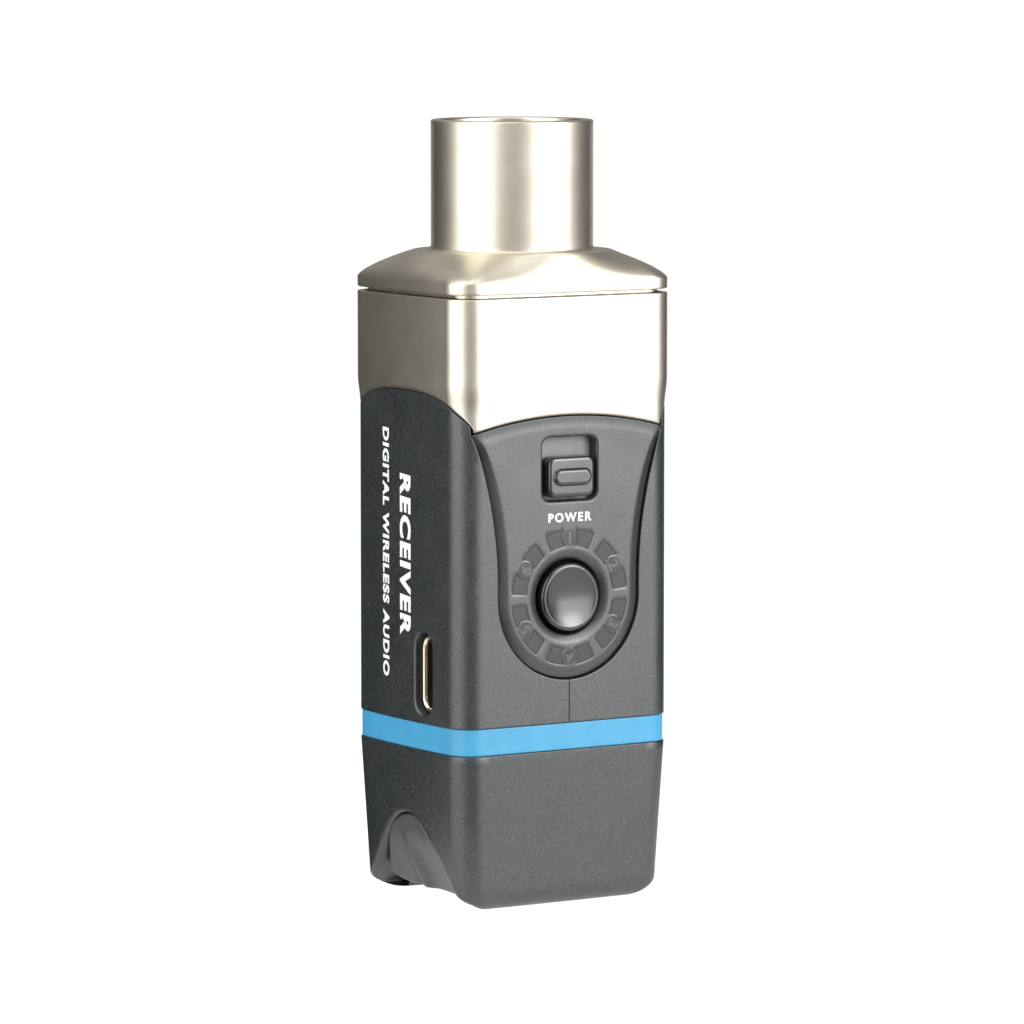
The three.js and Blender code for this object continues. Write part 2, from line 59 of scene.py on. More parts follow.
BODY_WIDTH, BODY_DEPTH, CORNER = 29.2, 25.0, 3.1
SIDE_CROWN, FRONT_CROWN = 0.35, 0.1
BAND_LOW, BAND_HIGH = span("accent_band")[0][2], span("accent_band")[1][2]
SHELL_LOW, SHELL_TOP = span("left_shell")[0][2], span("metal_shroud")[1][2]
CAP_LOW, PLATEAU = span("top_cap")[0][2], span("top_cap")[1][2]
CAP_RIM, CAP_OVERHANG, PLATEAU_RADIUS = CAP_LOW + 1.2, 0.3, 11.7
BAND_SUNK = 0.15
TOTAL = span("xlr_sleeve")[1][2]
BARREL, BORE, FOOT, RIM_ROUND = 9.5, 8.3, 10.0, 0.3
INSERT_TOP = span("xlr_insert")[1][2]
PIN_TIP_LENGTH, PIN_TIP_RADIUS = 0.9, 0.8

SHROUD_PROUD, FLARE_START, FLARE_END = 0.3, 57.7, 61.0
FRONT_APEX, FRONT_RADIUS = 57.25, 49.0
SIDE_APEX, TIP, SIDE_REACH, SIDE_POWER = 60.08, 55.6, 12.25, 2.4
# Steps (along the surface, below it) of the shells' rounded edges.
SHELL_EDGE = ((0, 1.3), (0, 0.07), (0.02, 0.02), (0.07, 0), (0.16, 0))
SEAM_GAP, SHROUD_GAP = 0.012, 0.09

BUTTON_LOW, BUTTON_HIGH = span("channel_button")
DIAL = (BUTTON_LOW[2] + BUTTON_HIGH[2]) / 2
PANEL_RADIUS, PANEL_STRAIGHT, PANEL_TIP, PANEL_PROUD, PANEL_GAP = 9.5, 38.0, 12.9, 0.12, 0.12
RING_INNER, RING_OUTER, RING_REACH, DIGIT_HALF = 5.95, 7.9, 24.5, 5.5
RING_MIDDLE = (RING_INNER + RING_OUTER) / 2
RING_BASE_Y, RING_BASE_INNER = -11.6, 5.45
DIGIT_CLEARANCE, DIGIT_DISC, DIGIT_HEIGHT = 1.12, 0.95, 1.45
KNOB, KNOB_HOLE, SINK, SINK_DEPTH = 3.95, 4.4, 5.55, 0.5
DISH_RIM, DISH_DEPTH, DISH_EDGE_DROP = KNOB - 0.64, 0.5, 0.05
STEM, FLANGE, FLANGE_BACK_Y, FLANGE_FRONT_Y, FLANGE_ROOT_Y = 1.6, 5.1, -10.9, -11.5, -11.7
OPENING_WIDTH, OPENING_HEIGHT, OPENING_Z, OPENING_CORNER = 7.85, 7.9, 51.07, 1.3
SLIDER_CORNER, RIB_LENGTH, RIB_WIDTH, RIB_CORNER, RIB_PROUD = 0.95, 5, 1.8, 0.89, 0.4

USB_LOW, USB_HIGH = span("usb_shell")
USB_Y, USB_Z = (USB_LOW[1] + USB_HIGH[1]) / 2, (USB_LOW[2] + USB_HIGH[2]) / 2
USB_RECESS_HEIGHT, USB_RECESS_WIDTH, USB_WALL, USB_STEEL_END = 10.0, 3.85, 0.46, 1.3

DRAFT, FILLET = 0.0505, 2.2
FILLET_LENGTH = FILLET * math.pi / 2
CAP_TOP = BAND_LOW - 0.03
ARCH_APEX, ARCH_HALF, ARCH_END, ARCH_SOFTNESS = 10.45, 11.2, 8.6, 3.0
PLATE_HALF, PLATE_END, PLATE_RISE, PLATE_CORNER = 5.7, 9.0, 0.93, 0.4
# Steps (inwards, up the side) of the rolled edge round an arch.
LIP = ((1.1, 0), (0.6, 0.0), (0.42, 0.06), (0.25, 0.19), (0.12, 0.37), (0.04, 0.58), (0, 0.8), (0, 0.95))
STEEPEST_LIP = 2.2
GRIP_LOW, GRIP_HALF, GRIP_APEX, GRIP_CORNER_Z, GRIP_FOOT = 1.1, 7.75, 10.3, 2.9, 4.4
SCOOP_RADIUS, SCOOP_TOP_X, SCOOP_BEND, SCOOP_LEAN, SCOOP_SOFTNESS = 30.0, 14.3, 8.3, 0.55, 1.2
CREASE_Y, CREASE_TOP, CREASE_FADE = 2.6, 8.6, 4
GROOVE_DEPTH, GROOVE_WIDTH = 0.25, 0.45
RIDGE_HEIGHT, RIDGE_WIDTH, RIDGE_AHEAD, RIDGE_START = 0.65, 0.95, 1.2, 0.35

POWER_HEIGHT, POWER_WIDTH, POWER_Z = 1.08, 5.9, 45.45


# The body's plan ----------------------

def soft_step(t):
    """Rises smoothly from 0 to 1 as t does."""
    t = np.clip(t, 0, 1)
    return t * t * (3 - 2 * t)


def quadratic(a, b, c, t):
    """Points of a quadratic curve from a to c, pulled towards b."""
    return np.outer((1 - t) ** 2, a) + np.outer(2 * t * (1 - t), b) + np.outer(t ** 2, c)


def body_plan():
    """Half of the body's plan, from the front centre round by +X to the back centre."""
    half_x, half_y = BODY_WIDTH / 2, BODY_DEPTH / 2
    straight_x, straight_y = half_x - CORNER, half_y - CORNER
    middle = np.linspace(0.5, 1, 120)
    front = quadratic((-straight_x, -half_y), (0, -half_y - 2 * FRONT_CROWN), (straight_x, -half_y), middle)
    side = quadratic((half_x, -straight_y), (half_x + 2 * SIDE_CROWN, 0), (half_x, straight_y),
                     np.linspace(0, 1, 240))
    turn = np.linspace(0, math.pi / 2, 60)
    corner = np.stack([straight_x + CORNER * np.sin(turn), -straight_y - CORNER * np.cos(turn)], 1)
    points = np.concatenate([front, corner[1:-1], side, (corner * [1, -1])[::-1][1:-1],
                             (front * [1, -1])[::-1]])
    length = np.concatenate([[0], np.cumsum(np.hypot(*np.diff(points, axis=0).T))])
    even = np.linspace(0, length[-1], 1400)
    x, y = np.interp(even, length, points[:, 0]), np.interp(even, length, points[:, 1])
    angle = np.unwrap(np.arctan2(-np.gradient(x), np.gradient(y)))
    blend = 25
    before, after = 2 * angle[0] - angle[blend:0:-1], 2 * angle[-1] - angle[-2:-blend - 2:-1]
    padded = np.concatenate([before, angle, after])
    smooth = np.convolve(padded, np.ones(2 * blend + 1) / (2 * blend + 1), "valid")
    return even, x, y, np.cos(smooth), np.sin(smooth)


PLAN_S, PLAN_X, PLAN_Y, PLAN_NX, PLAN_NY = body_plan()
HALF_LOOP = PLAN_S[-1]
SIDE_START = PLAN_S[np.argmax(PLAN_X >= BODY_WIDTH / 2 - 1e-3)]


def plan_at(s):
    """Points and outward normals of the plan at distances s from the front centre."""
    s = np.asarray(s, float)
    side, reach = np.where(s < 0, -1, 1), np.abs(s)
    point = np.stack([side * np.interp(reach, PLAN_S, PLAN_X), np.interp(reach, PLAN_S, PLAN_Y)], -1)
    normal = np.stack([side * np.interp(reach, PLAN_S, PLAN_NX), np.interp(reach, PLAN_S, PLAN_NY)], -1)
    return point, normal


def s_from_x(x):
    """Distance along the plan of a front point, from its x."""
    front = PLAN_S <= SIDE_START
    return np.sign(x) * np.interp(np.abs(x), PLAN_X[front], PLAN_S[front])


def s_from_y(y):
    """Distance along the plan of a point on the +X side, from its y."""
    return np.interp(y, PLAN_Y, PLAN_S)


def on_body(points, out):
    """Places (s, z) points on the body, out millimetres proud of it."""
    points = np.asarray(points, float)
    spot, normal = plan_at(points[:, 0])
    spot = spot + normal * np.broadcast_to(out, len(points))[:, None]
    return np.column_stack([spot, points[:, 1]])


def on_right(points, depth):
    """Places points of the +X half on the body, depth millimetres below its surface."""
    return on_body(points, -depth)


def on_left(points, depth):
    """As on_right, mirrored to the other half."""
    return on_body(points * [-1, 1], -depth)


def loop_steps(corner_step=0.3, flat_step=1.2):
    """Places round one half of the plan, close together on the corners."""
    steps = [0.0]
    while steps[-1] < HALF_LOOP:
        x, y = plan_at(steps[-1])[0]
        corner = abs(x) > BODY_WIDTH / 2 - CORNER - 1 and abs(y) > BODY_DEPTH / 2 - CORNER - 1
        steps.append(steps[-1] + (corner_step if corner else flat_step))
    steps = np.array(steps)
    return steps * HALF_LOOP / steps[-1]


def whole_loop(extra=(), **steps):
    """Places round the whole plan, once each, with extra ones added on both halves."""
    half = np.unique(np.concatenate([loop_steps(**steps), np.asarray(extra, float)]))
    return np.concatenate([-half[:0:-1], half[:-1]])


# Building meshes ----------------------

def build(name, vertices, faces, material, body, nodes, slot, weld=1e-3, outward=None):
    """Makes one smooth-shaded piece from points in millimetres and fixes it to a body."""
    mesh = bpy.data.meshes.new(name)
    mesh.from_pydata((np.asarray(vertices, float) * MM).tolist(), [], [list(map(int, f)) for f in faces])
    work = bmesh.new()
    work.from_mesh(mesh)
    bmesh.ops.remove_doubles(work, verts=work.verts, dist=weld * MM)
    bmesh.ops.dissolve_degenerate(work, edges=work.edges, dist=1e-7)
    bmesh.ops.recalc_face_normals(work, faces=work.faces)
    if outward is not None:
        facing = sum(face.calc_area() * face.normal.dot(outward(face.calc_center_median() / MM))
                     for face in work.faces)
        if facing < 0:
            bmesh.ops.reverse_faces(work, faces=work.faces)
    work.to_mesh(mesh)
    work.free()
    mesh.shade_smooth()
    piece = bpy.data.objects.new(name, mesh)
    bpy.context.scene.collection.objects.link(piece)
    weighted = piece.modifiers.new("even_shading", "WEIGHTED_NORMAL")
    weighted.weight = 70
    settle(piece)
    piece.data.materials.append(material)
    return fix(piece, body, nodes, slot)


def settle(piece):
    """Makes the modifiers of a piece part of its mesh."""
    bpy.context.view_layer.update()
    evaluated = piece.evaluated_get(bpy.context.evaluated_depsgraph_get())
    final = bpy.data.meshes.new_from_object(evaluated)
    piece.modifiers.clear()
    piece.data = final


def fix(piece, body, nodes, slot):
    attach(piece, body)
    if nodes:
        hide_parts(*nodes)
    return piece


def away_from_axis(centre):
    return Vector((centre[0], centre[1], 0)).normalized()


def to_front(centre):
    return Vector((0, -1, 0))


def rings_mesh(rings, closed=True, start_cap=False, end_cap=False):
    """Vertices and faces of a skin through rings that all have the same count."""
    count = len(rings[0])
    vertices = np.concatenate(rings)
    faces = []
    for k in range(len(rings) - 1):
        for i in range(count if closed else count - 1):
            j = (i + 1) % count
            faces.append((k * count + i, k * count + j, (k + 1) * count + j, (k + 1) * count + i))
    if start_cap:
        faces.append(tuple(range(count)))
    if end_cap:
        faces.append(tuple(range((len(rings) - 1) * count, len(rings) * count)))
    return vertices, faces


def joined(parts):
    """Several vertex and face lists as one."""
    vertices, faces = np.zeros((0, 3)), []
    for more, strips in parts:
        faces += [tuple(len(vertices) + i for i in face) for face in strips]
        vertices = np.concatenate([vertices, more])
    return vertices, faces


def lathe(profile, steps=128, centre=(0, 0), along_y=False):
    """Turns (radius, height) points round the Z axis, or round the Y axis."""
    angle = np.linspace(0, 2 * math.pi, steps, endpoint=False)
    rings = []
    for radius, height in profile:
        radius = max(radius, 1e-4)
        across, up = radius * np.cos(angle), radius * np.sin(angle)
        if along_y:
            rings.append(np.column_stack([centre[0] + across, np.full(steps, height), centre[1] + up]))
        else:
            rings.append(np.column_stack([centre[0] + across, centre[1] + up, np.full(steps, height)]))
    return rings_mesh(rings)


def inset_loop(points, distance):
    """Moves a counter-clockwise loop inwards, with mitred corners."""
    before, after = np.roll(points, 1, 0), np.roll(points, -1, 0)
    first, second = points - before, after - points
    first /= np.linalg.norm(first, axis=1)[:, None]
    second /= np.linalg.norm(second, axis=1)[:, None]
    left = np.column_stack([-(first + second)[:, 1], (first + second)[:, 0]])
    left /= np.maximum(np.linalg.norm(left, axis=1), 1e-9)[:, None]
    mitre = np.sum(left * np.column_stack([-first[:, 1], first[:, 0]]), axis=1)
    return points + left * (distance / np.clip(mitre, 0.45, 1))[:, None]


def resample(points, step, closed=True):
    """Spreads a polyline's points evenly but keeps its sharp corners."""
    result = []
    count = len(points)
    for i in range(count if closed else count - 1):
        a, b = points[i], points[(i + 1) % count]
        parts = max(1, round(np.hypot(*(b - a)) / step))
        result.extend(a + (b - a) * k / parts for k in range(parts))
    if not closed:
        result.append(points[-1])
    return np.array(result)


def is_inside(points, loop):
    """Which points lie inside a closed loop."""
    x, y = points[:, 0][:, None], points[:, 1][:, None]
    ax, ay = loop[:, 0], loop[:, 1]
    bx, by = np.roll(ax, -1), np.roll(ay, -1)
    rises = (ay > y) != (by > y)
    with np.errstate(divide="ignore", invalid="ignore"):
        crossing = x < (bx - ax) * (y - ay) / (by - ay) + ax
    return np.sum(rises & crossing, axis=1) % 2 == 1


def nearest(points, loop):
    return np.min(np.hypot(points[:, 0][:, None] - loop[:, 0], points[:, 1][:, None] - loop[:, 1]), axis=1)


def relief(outer, holes, place, grid, clear=0.3):
    """A skin over a flat region. Each edge is a list of (loop, depth), from its wall up to the face."""
    vertices, faces = [], []
    for edge in [outer] + holes:
        rings = [place(loop, depth) for loop, depth in edge]
        more, strips = rings_mesh(rings)
        start = sum(len(v) for v in vertices)
        vertices.append(more)
        faces += [tuple(start + i for i in face) for face in strips]
    border = outer[-1][0]
    rims = [hole[-1][0] for hole in holes]
    inside = is_inside(grid, border) & (nearest(grid, border) > clear)
    for rim in rims:
        inside &= ~is_inside(grid, rim) & (nearest(grid, rim) > clear)
    flat, edges = [], []
    for loop in [border] + rims:
        start = len(flat)
        flat.extend(map(tuple, loop))
        edges.extend((start + i, start + (i + 1) % len(loop)) for i in range(len(loop)))
    flat.extend(map(tuple, grid[inside]))
    spots, _, triangles, _, _, _ = delaunay_2d_cdt([Vector(p) for p in flat], edges, [], 0, 1e-6)
    spots = np.array([tuple(p) for p in spots])
    centres = np.array([spots[list(t)].mean(axis=0) for t in triangles])
    keep = is_inside(centres, border)
    for rim in rims:
        keep &= ~is_inside(centres, rim)
    start = sum(len(v) for v in vertices)
    vertices.append(place(spots, 0.0))
    faces += [tuple(start + i for i in t) for t, kept in zip(triangles, keep) if kept]
    return np.concatenate(vertices), faces


def grid_points(across, up):
    return np.array([(a, u) for a in across for u in up])


# Outlines -----------------------------

def rounded_rectangle(width, height, corner, centre, steps=8):
    """A counter-clockwise rounded rectangle."""
    points = []
    for k, (sx, sy) in enumerate(((1, 1), (-1, 1), (-1, -1), (1, -1))):
        for t in np.linspace(0, math.pi / 2, steps):
            angle = k * math.pi / 2 + t
            points.append((centre[0] + sx * (width / 2 - corner) + corner * math.cos(angle),
                           centre[1] + sy * (height / 2 - corner) + corner * math.sin(angle)))
    return np.array(points)


def circle(radius, centre=(0, 0), steps=96):
    angle = np.linspace(0, 2 * math.pi, steps, endpoint=False)
    return np.column_stack([centre[0] + radius * np.cos(angle), centre[1] + radius * np.sin(angle)])


def cubic(a, b, c, d, t):
    """Points of a cubic curve from a to d, pulled towards b and c."""
    t = t[:, None]
    a, b, c, d = map(np.array, (a, b, c, d))
    return (1 - t) ** 3 * a + 3 * t * (1 - t) ** 2 * b + 3 * t * t * (1 - t) * c + t ** 3 * d


def shield(grow=0.0):
    """The control panel's outline in X and Z, counter-clockwise from its left shoulder."""
    radius, tip_x = PANEL_RADIUS + grow, PANEL_TIP + grow
    top_radius = FRONT_RADIUS + grow - PANEL_GAP
    top_centre = FRONT_APEX - FRONT_RADIUS
    half_angle = math.asin(tip_x / top_radius)
    tip_z = top_centre + top_radius * math.cos(half_angle)
    foot = np.linspace(math.pi, 2 * math.pi, 72)
    bowl = np.column_stack([radius * np.cos(foot), DIAL + radius * np.sin(foot)])
    rise = cubic((radius, PANEL_STRAIGHT), (radius, 44.5), (11 + grow, 51), (tip_x, tip_z),
                 np.linspace(0, 1, 40))
    sweep = np.linspace(math.pi / 2 - half_angle, math.pi / 2 + half_angle, 60)[1:-1]
    top = np.column_stack([top_radius * np.cos(sweep), top_centre + top_radius * np.sin(sweep)])
    return np.concatenate([bowl, rise, top, (rise * [-1, 1])[::-1]])


def shroud_edge(s):
    """Height of the metal shroud's lower edge round the plan."""
    (x, y), _ = map(np.transpose, plan_at(s))
    aside = np.minimum(np.abs(x), BODY_WIDTH / 2)
    front = FRONT_APEX - FRONT_RADIUS + np.sqrt(FRONT_RADIUS ** 2 - aside ** 2)
    across = np.clip(np.abs(y) / SIDE_REACH, 0, 1)
    side = TIP + (SIDE_APEX - TIP) * np.sqrt(1 - across ** SIDE_POWER)
    on_side = (np.abs(x) > 11) & (np.abs(y) < SIDE_REACH)
    return np.where(on_side, np.maximum(front, side), front)


def on_front(loop):
    """Turns X and Z points of the front into distances along the plan and Z."""
    return np.column_stack([s_from_x(loop[:, 0]), loop[:, 1]])


def arch_height(y):
    """Height of the finger arch above the base at a distance y from its middle."""
    t = np.linspace(0, 1, 400)
    curve = cubic((ARCH_HALF, 0), (6.8, 3.4), (4.8, ARCH_APEX), (0, ARCH_APEX), t)[::-1]
    return np.interp(np.abs(y), curve[:, 0], curve[:, 1], right=-1)


# Materials ----------------------------

class Shader:
    """One node material: a Principled shader and helpers for its texture nodes."""

    def __init__(self, name, **values):
        self.material = bpy.data.materials.new(name)
        self.material.use_nodes = True
        self.nodes, self.links = self.material.node_tree.nodes, self.material.node_tree.links
        self.shader = self.nodes["Principled BSDF"]
        for socket, value in values.items():
            self.shader.inputs[socket.replace("_", " ")].default_value = value
        self.place = self.nodes.new("ShaderNodeTexCoord").outputs["Object"]

    def noise(self, size, detail=2.0, stretch=None):
        """Noise whose grains are about size millimetres across."""
        texture = self.nodes.new("ShaderNodeTexNoise")
        texture.inputs["Scale"].default_value = 1 / (size * MM)
        texture.inputs["Detail"].default_value = detail
        source = self.place
        if stretch:
            mapping = self.nodes.new("ShaderNodeMapping")
            mapping.inputs["Scale"].default_value = stretch
            self.links.new(source, mapping.inputs["Vector"])
            source = mapping.outputs["Vector"]
        self.links.new(source, texture.inputs["Vector"])
        return texture.outputs["Fac"]

    def pits(self, size):
        texture = self.nodes.new("ShaderNodeTexVoronoi")
        texture.inputs["Scale"].default_value = 1 / (size * MM)
        self.links.new(self.place, texture.inputs["Vector"])
        return texture.outputs["Distance"]

    def spread(self, source, low, high, start=0.3, end=0.7):
        node = self.nodes.new("ShaderNodeMapRange")
        for socket, value in (("From Min", start), ("From Max", end), ("To Min", low), ("To Max", high)):
            node.inputs[socket].default_value = value
        self.links.new(source, node.inputs["Value"])
        return node.outputs["Result"]

    def colours(self, source, dark, light, start=0.3, end=0.7):
        ramp = self.nodes.new("ShaderNodeValToRGB")
        ramp.color_ramp.elements[0].position, ramp.color_ramp.elements[1].position = start, end
        ramp.color_ramp.elements[0].color, ramp.color_ramp.elements[1].color = (*dark, 1), (*light, 1)
        self.links.new(source, ramp.inputs["Fac"])
        return ramp.outputs["Color"]

    def bump(self, source, height, strength, under=None):
        node = self.nodes.new("ShaderNodeBump")
        node.inputs["Strength"].default_value = strength
        node.inputs["Distance"].default_value = height * MM
        self.links.new(source, node.inputs["Height"])
        if under:
            self.links.new(under, node.inputs["Normal"])
        return node.outputs["Normal"]

    def use(self, **sources):
        for socket, source in sources.items():
            self.links.new(source, self.shader.inputs[socket.replace("_", " ")])
        return self.material


def satin_metal(name, dark, light, roughness):
    """Bead-blasted nickel: a fine grain, faint cloudiness and a soft shine."""
    shader = Shader(name, Metallic=1.0)
    grain, cloud = shader.noise(0.12, 3), shader.noise(3.5, 3)
    return shader.use(Base_Color=shader.colours(cloud, dark, light),
                      Roughness=shader.spread(grain, roughness - 0.03, roughness + 0.05),
                      Normal=shader.bump(grain, 0.01, 0.25))


def moulded_plastic(name, dark, light, roughness, grain=0.2, height=0.02):
    """Plastic from a spark-eroded mould: pits, a pale speckle and uneven shine."""
    shader = Shader(name, Specular_IOR_Level=0.9)
    speckle, fine, cloud = shader.noise(grain, 3), shader.pits(grain * 1.4), shader.noise(5, 2)
    bump = shader.bump(fine, height, 0.35)
    bump = shader.bump(speckle, height, 0.3, bump)
    return shader.use(Base_Color=shader.colours(speckle, dark, light, 0.42, 0.66),
                      Roughness=shader.spread(cloud, roughness - 0.03, roughness + 0.05),
                      Normal=bump)


def glossy_plastic(name, dark, light, roughness):
    """Smooth plastic with faint flow marks."""
    shader = Shader(name)
    flow, fine = shader.noise(2.5, 2, stretch=(1, 1, 0.4)), shader.noise(0.25, 2)
    return shader.use(Base_Color=shader.colours(flow, dark, light),
                      Roughness=shader.spread(fine, roughness - 0.04, roughness + 0.06),
                      Normal=shader.bump(fine, 0.006, 0.3))


def printed_ink(name, dark, light):
    """Screen-printed ink: a slightly uneven coat over the grain of the plastic."""
    shader = Shader(name, Roughness=0.55)
    patch, grain = shader.noise(0.35, 3), shader.noise(0.12, 2)
    return shader.use(Base_Color=shader.colours(patch, dark, light, 0.3, 0.6),
                      Normal=shader.bump(grain, 0.006, 0.3))


def circuit_board_finish():
    shader = Shader("circuit_board_mat", Roughness=0.4)
    weave, traces = shader.noise(0.4, 1, stretch=(1, 1, 6)), shader.pits(1.6)
    return shader.use(Base_Color=shader.colours(traces, (0.02, 0.12, 0.06), (0.04, 0.2, 0.1), 0.35, 0.45),
                      Normal=shader.bump(weave, 0.02, 0.3))


METAL = satin_metal("satin_nickel_mat", (0.63, 0.58, 0.48), (0.7, 0.65, 0.55), 0.385)
CONTACT = satin_metal("contact_metal_mat", (0.72, 0.62, 0.48), (0.82, 0.73, 0.58), 0.22)
STEEL = satin_metal("screw_steel_mat", (0.4, 0.4, 0.4), (0.52, 0.52, 0.52), 0.35)
BLACK = moulded_plastic("black_plastic_mat", (0.0125, 0.0152, 0.0162), (0.034, 0.039, 0.0405), 0.4,
                        grain=0.26)
PANEL = moulded_plastic("panel_plastic_mat", (0.0135, 0.0165, 0.0165), (0.032, 0.038, 0.038), 0.36,
                        grain=0.2, height=0.014)
BUTTON = moulded_plastic("button_plastic_mat", (0.006, 0.007, 0.0075), (0.015, 0.0165, 0.017), 0.21,
                         grain=0.16, height=0.006)
BLUE = glossy_plastic("accent_blue_mat", (0.05, 0.285, 0.49), (0.059, 0.31, 0.52), 0.46)
GREY = glossy_plastic("grey_plastic_mat", (0.048, 0.05, 0.052), (0.06, 0.063, 0.065), 0.46)
APRON = glossy_plastic("apron_plastic_mat", (0.17, 0.175, 0.18), (0.22, 0.225, 0.23), 0.5)
SMOKY = glossy_plastic("smoky_lens_mat", (0.017, 0.02, 0.018), (0.023, 0.027, 0.0245), 0.33)
FOIL = satin_metal("battery_foil_mat", (0.5, 0.5, 0.5), (0.65, 0.65, 0.66), 0.38)
FOAM = moulded_plastic("foam_mat", (0.008, 0.008, 0.009), (0.02, 0.02, 0.021), 0.9, 0.5, 0.15)
LED = glossy_plastic("led_mat", (0.6, 0.58, 0.48), (0.72, 0.7, 0.6), 0.3)
WHITE_INK = printed_ink("white_print_mat", (0.72, 0.72, 0.7), (0.86, 0.86, 0.85))
DIAL_INK = glossy_plastic("dial_print_mat", (0.017, 0.02, 0.018), (0.023, 0.027, 0.0245), 0.33)
BOARD = circuit_board_finish()

CAD_FINISHES = {
    "neck_plate": METAL, "xlr_insert": BLACK, "slider_apron": APRON, "switch_lever": GREY,
    "slide_switch_body": BLACK, "tact_plunger": GREY, "tact_switch_body": BLACK,
    "usb_tongue": BLACK, "main_board": BOARD, "radio_shield": STEEL, "chip_antenna": LED,
    "battery_cell": FOIL, "battery_pad": FOAM,
}


def dress_cad_nodes():
    """Gives the CAD nodes that stay visible their materials."""
    finishes = dict(CAD_FINISHES)
    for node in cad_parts:
        if "_screw_" in node:
            finishes[node] = STEEL
        elif node.startswith("channel_led_"):
            finishes[node] = LED
    for node, finish in finishes.items():
        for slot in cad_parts[node].material_slots:
            slot.material = finish


# Metal top ----------------------------

def arc(centre, radius, start, end, steps=6):
    """Points of an arc, for a lathe's profile."""
    angle = np.radians(np.linspace(start, end, steps))
    return [(centre[0] + radius * math.cos(a), centre[1] + radius * math.sin(a)) for a in angle]


def barrel():
    profile = [(BARREL - 0.1, PLATEAU - 1), (FOOT, PLATEAU - 0.1), (FOOT, PLATEAU + 0.02)]
    profile += arc((FOOT, PLATEAU + 0.5), 0.48, 270, 180, 7)
    profile += [(BARREL, PLATEAU + 0.6), (BARREL, PLATEAU + 1)]
    profile += [(BARREL, z) for z in np.linspace(PLATEAU + 2, TOTAL - RIM_ROUND - 0.3, 8)]
    profile += arc((BARREL - RIM_ROUND, TOTAL - RIM_ROUND), RIM_ROUND, 0, 90)
    profile += arc((BORE + RIM_ROUND, TOTAL - RIM_ROUND), RIM_ROUND, 90, 180)
    profile += [(BORE, TOTAL - 1), (BORE, INSERT_TOP), (BORE, INSERT_TOP - 2)]
    build("barrel", *lathe(profile, 160), METAL, "root", ["xlr_sleeve"], "satin_nickel",
          outward=away_from_axis)


def contact_pins():
    for i in (1, 2, 3):
        low, high = span(f"xlr_pin_{i}")
        centre, radius = (low + high) / 2, (high[0] - low[0]) / 2
        shoulder = high[2] - PIN_TIP_LENGTH
        profile = [(0, low[2]), (radius, low[2]), (radius, shoulder)]
        profile += arc((radius - PIN_TIP_RADIUS, shoulder), PIN_TIP_RADIUS, 0, 90, 8) + [(0, high[2])]
        build(f"contact_pin_{i}", *lathe(profile, 40, centre[:2]), CONTACT, "root", [f"xlr_pin_{i}"],
              "contact_metal")


def top_cap():
    s = whole_loop(flat_step=0.7)
    plan, normal = plan_at(s)
    angle = np.arctan2(plan[:, 1], plan[:, 0])
    rim = plan + normal * CAP_OVERHANG
    round_plan = PLATEAU_RADIUS * np.column_stack([np.cos(angle), np.sin(angle)])

    def ring(z, blend=0.0, inwards=0.0):
        flat = (rim - normal * inwards) * (1 - blend) + round_plan * blend
        return np.column_stack([flat, np.full(len(s), z)])

    rings = [ring(CAP_LOW, inwards=3), ring(CAP_LOW, inwards=0.2), ring(CAP_LOW + 0.05, inwards=0.06),
             ring(CAP_LOW + 0.16), ring(CAP_LOW + 0.3)]
    rings += [ring(z) for z in np.linspace(CAP_LOW + 0.5, CAP_RIM, 4)]
    for t in np.linspace(0, 1, 30)[1:-1] ** 1.6:
        rings.append(ring(CAP_RIM + (PLATEAU - CAP_RIM) * t ** (2 / 3), t))
    crest = [(0.97, -0.075), (0.99, -0.035), (1.0, -0.012)]
    rings += [ring(PLATEAU + drop, t) for t, drop in crest]
    for radius in (11.55, 11.3, FOOT + 0.3, FOOT + 0.02, FOOT - 0.3):
        rings.append(np.column_stack([round_plan * radius / PLATEAU_RADIUS, np.full(len(s), PLATEAU)]))
    build("shoulder_cap", *rings_mesh(rings), METAL, "root", ["top_cap"], "satin_nickel",
          outward=away_from_axis)


def shroud_out(z):
    """How far the shroud stands proud of the body at each height."""
    return SHROUD_PROUD * soft_step((z - FLARE_START) / (FLARE_END - FLARE_START))


def metal_shroud():
    cusp = np.linspace(SIDE_START - 4.5, SIDE_START + 0.5, 40)
    s = whole_loop(extra=cusp, flat_step=0.6)
    low = shroud_edge(s)
    rings = []
    lower_edge = ((0, 1.2), (0, 0.4), (0.04, 0.22), (0.12, 0.1), (0.26, 0.03), (0.45, 0), (0.6, 0))
    upper_edge = ((0.14, 0), (0.04, 0.05), (0, 0.15), (0, 0.8), (0.6, 0.8))
    for rise, depth in lower_edge:
        z = low + rise
        rings.append(on_body(np.column_stack([s, z]), shroud_out(z) - depth))
    start = low + lower_edge[-1][0]
    for t in np.linspace(0, 1, 22)[1:]:
        z = start + (SHELL_TOP - 0.3 - start) * t
        rings.append(on_body(np.column_stack([s, z]), shroud_out(z)))
    for drop, depth in upper_edge:
        rings.append(on_body(np.column_stack([s, np.full(len(s), SHELL_TOP - drop)]), SHROUD_PROUD - depth))
    build("metal_shroud_skin", *rings_mesh(rings), METAL, "root", ["metal_shroud"], "satin_nickel",
          outward=away_from_axis)


# Plastic body -------------------------

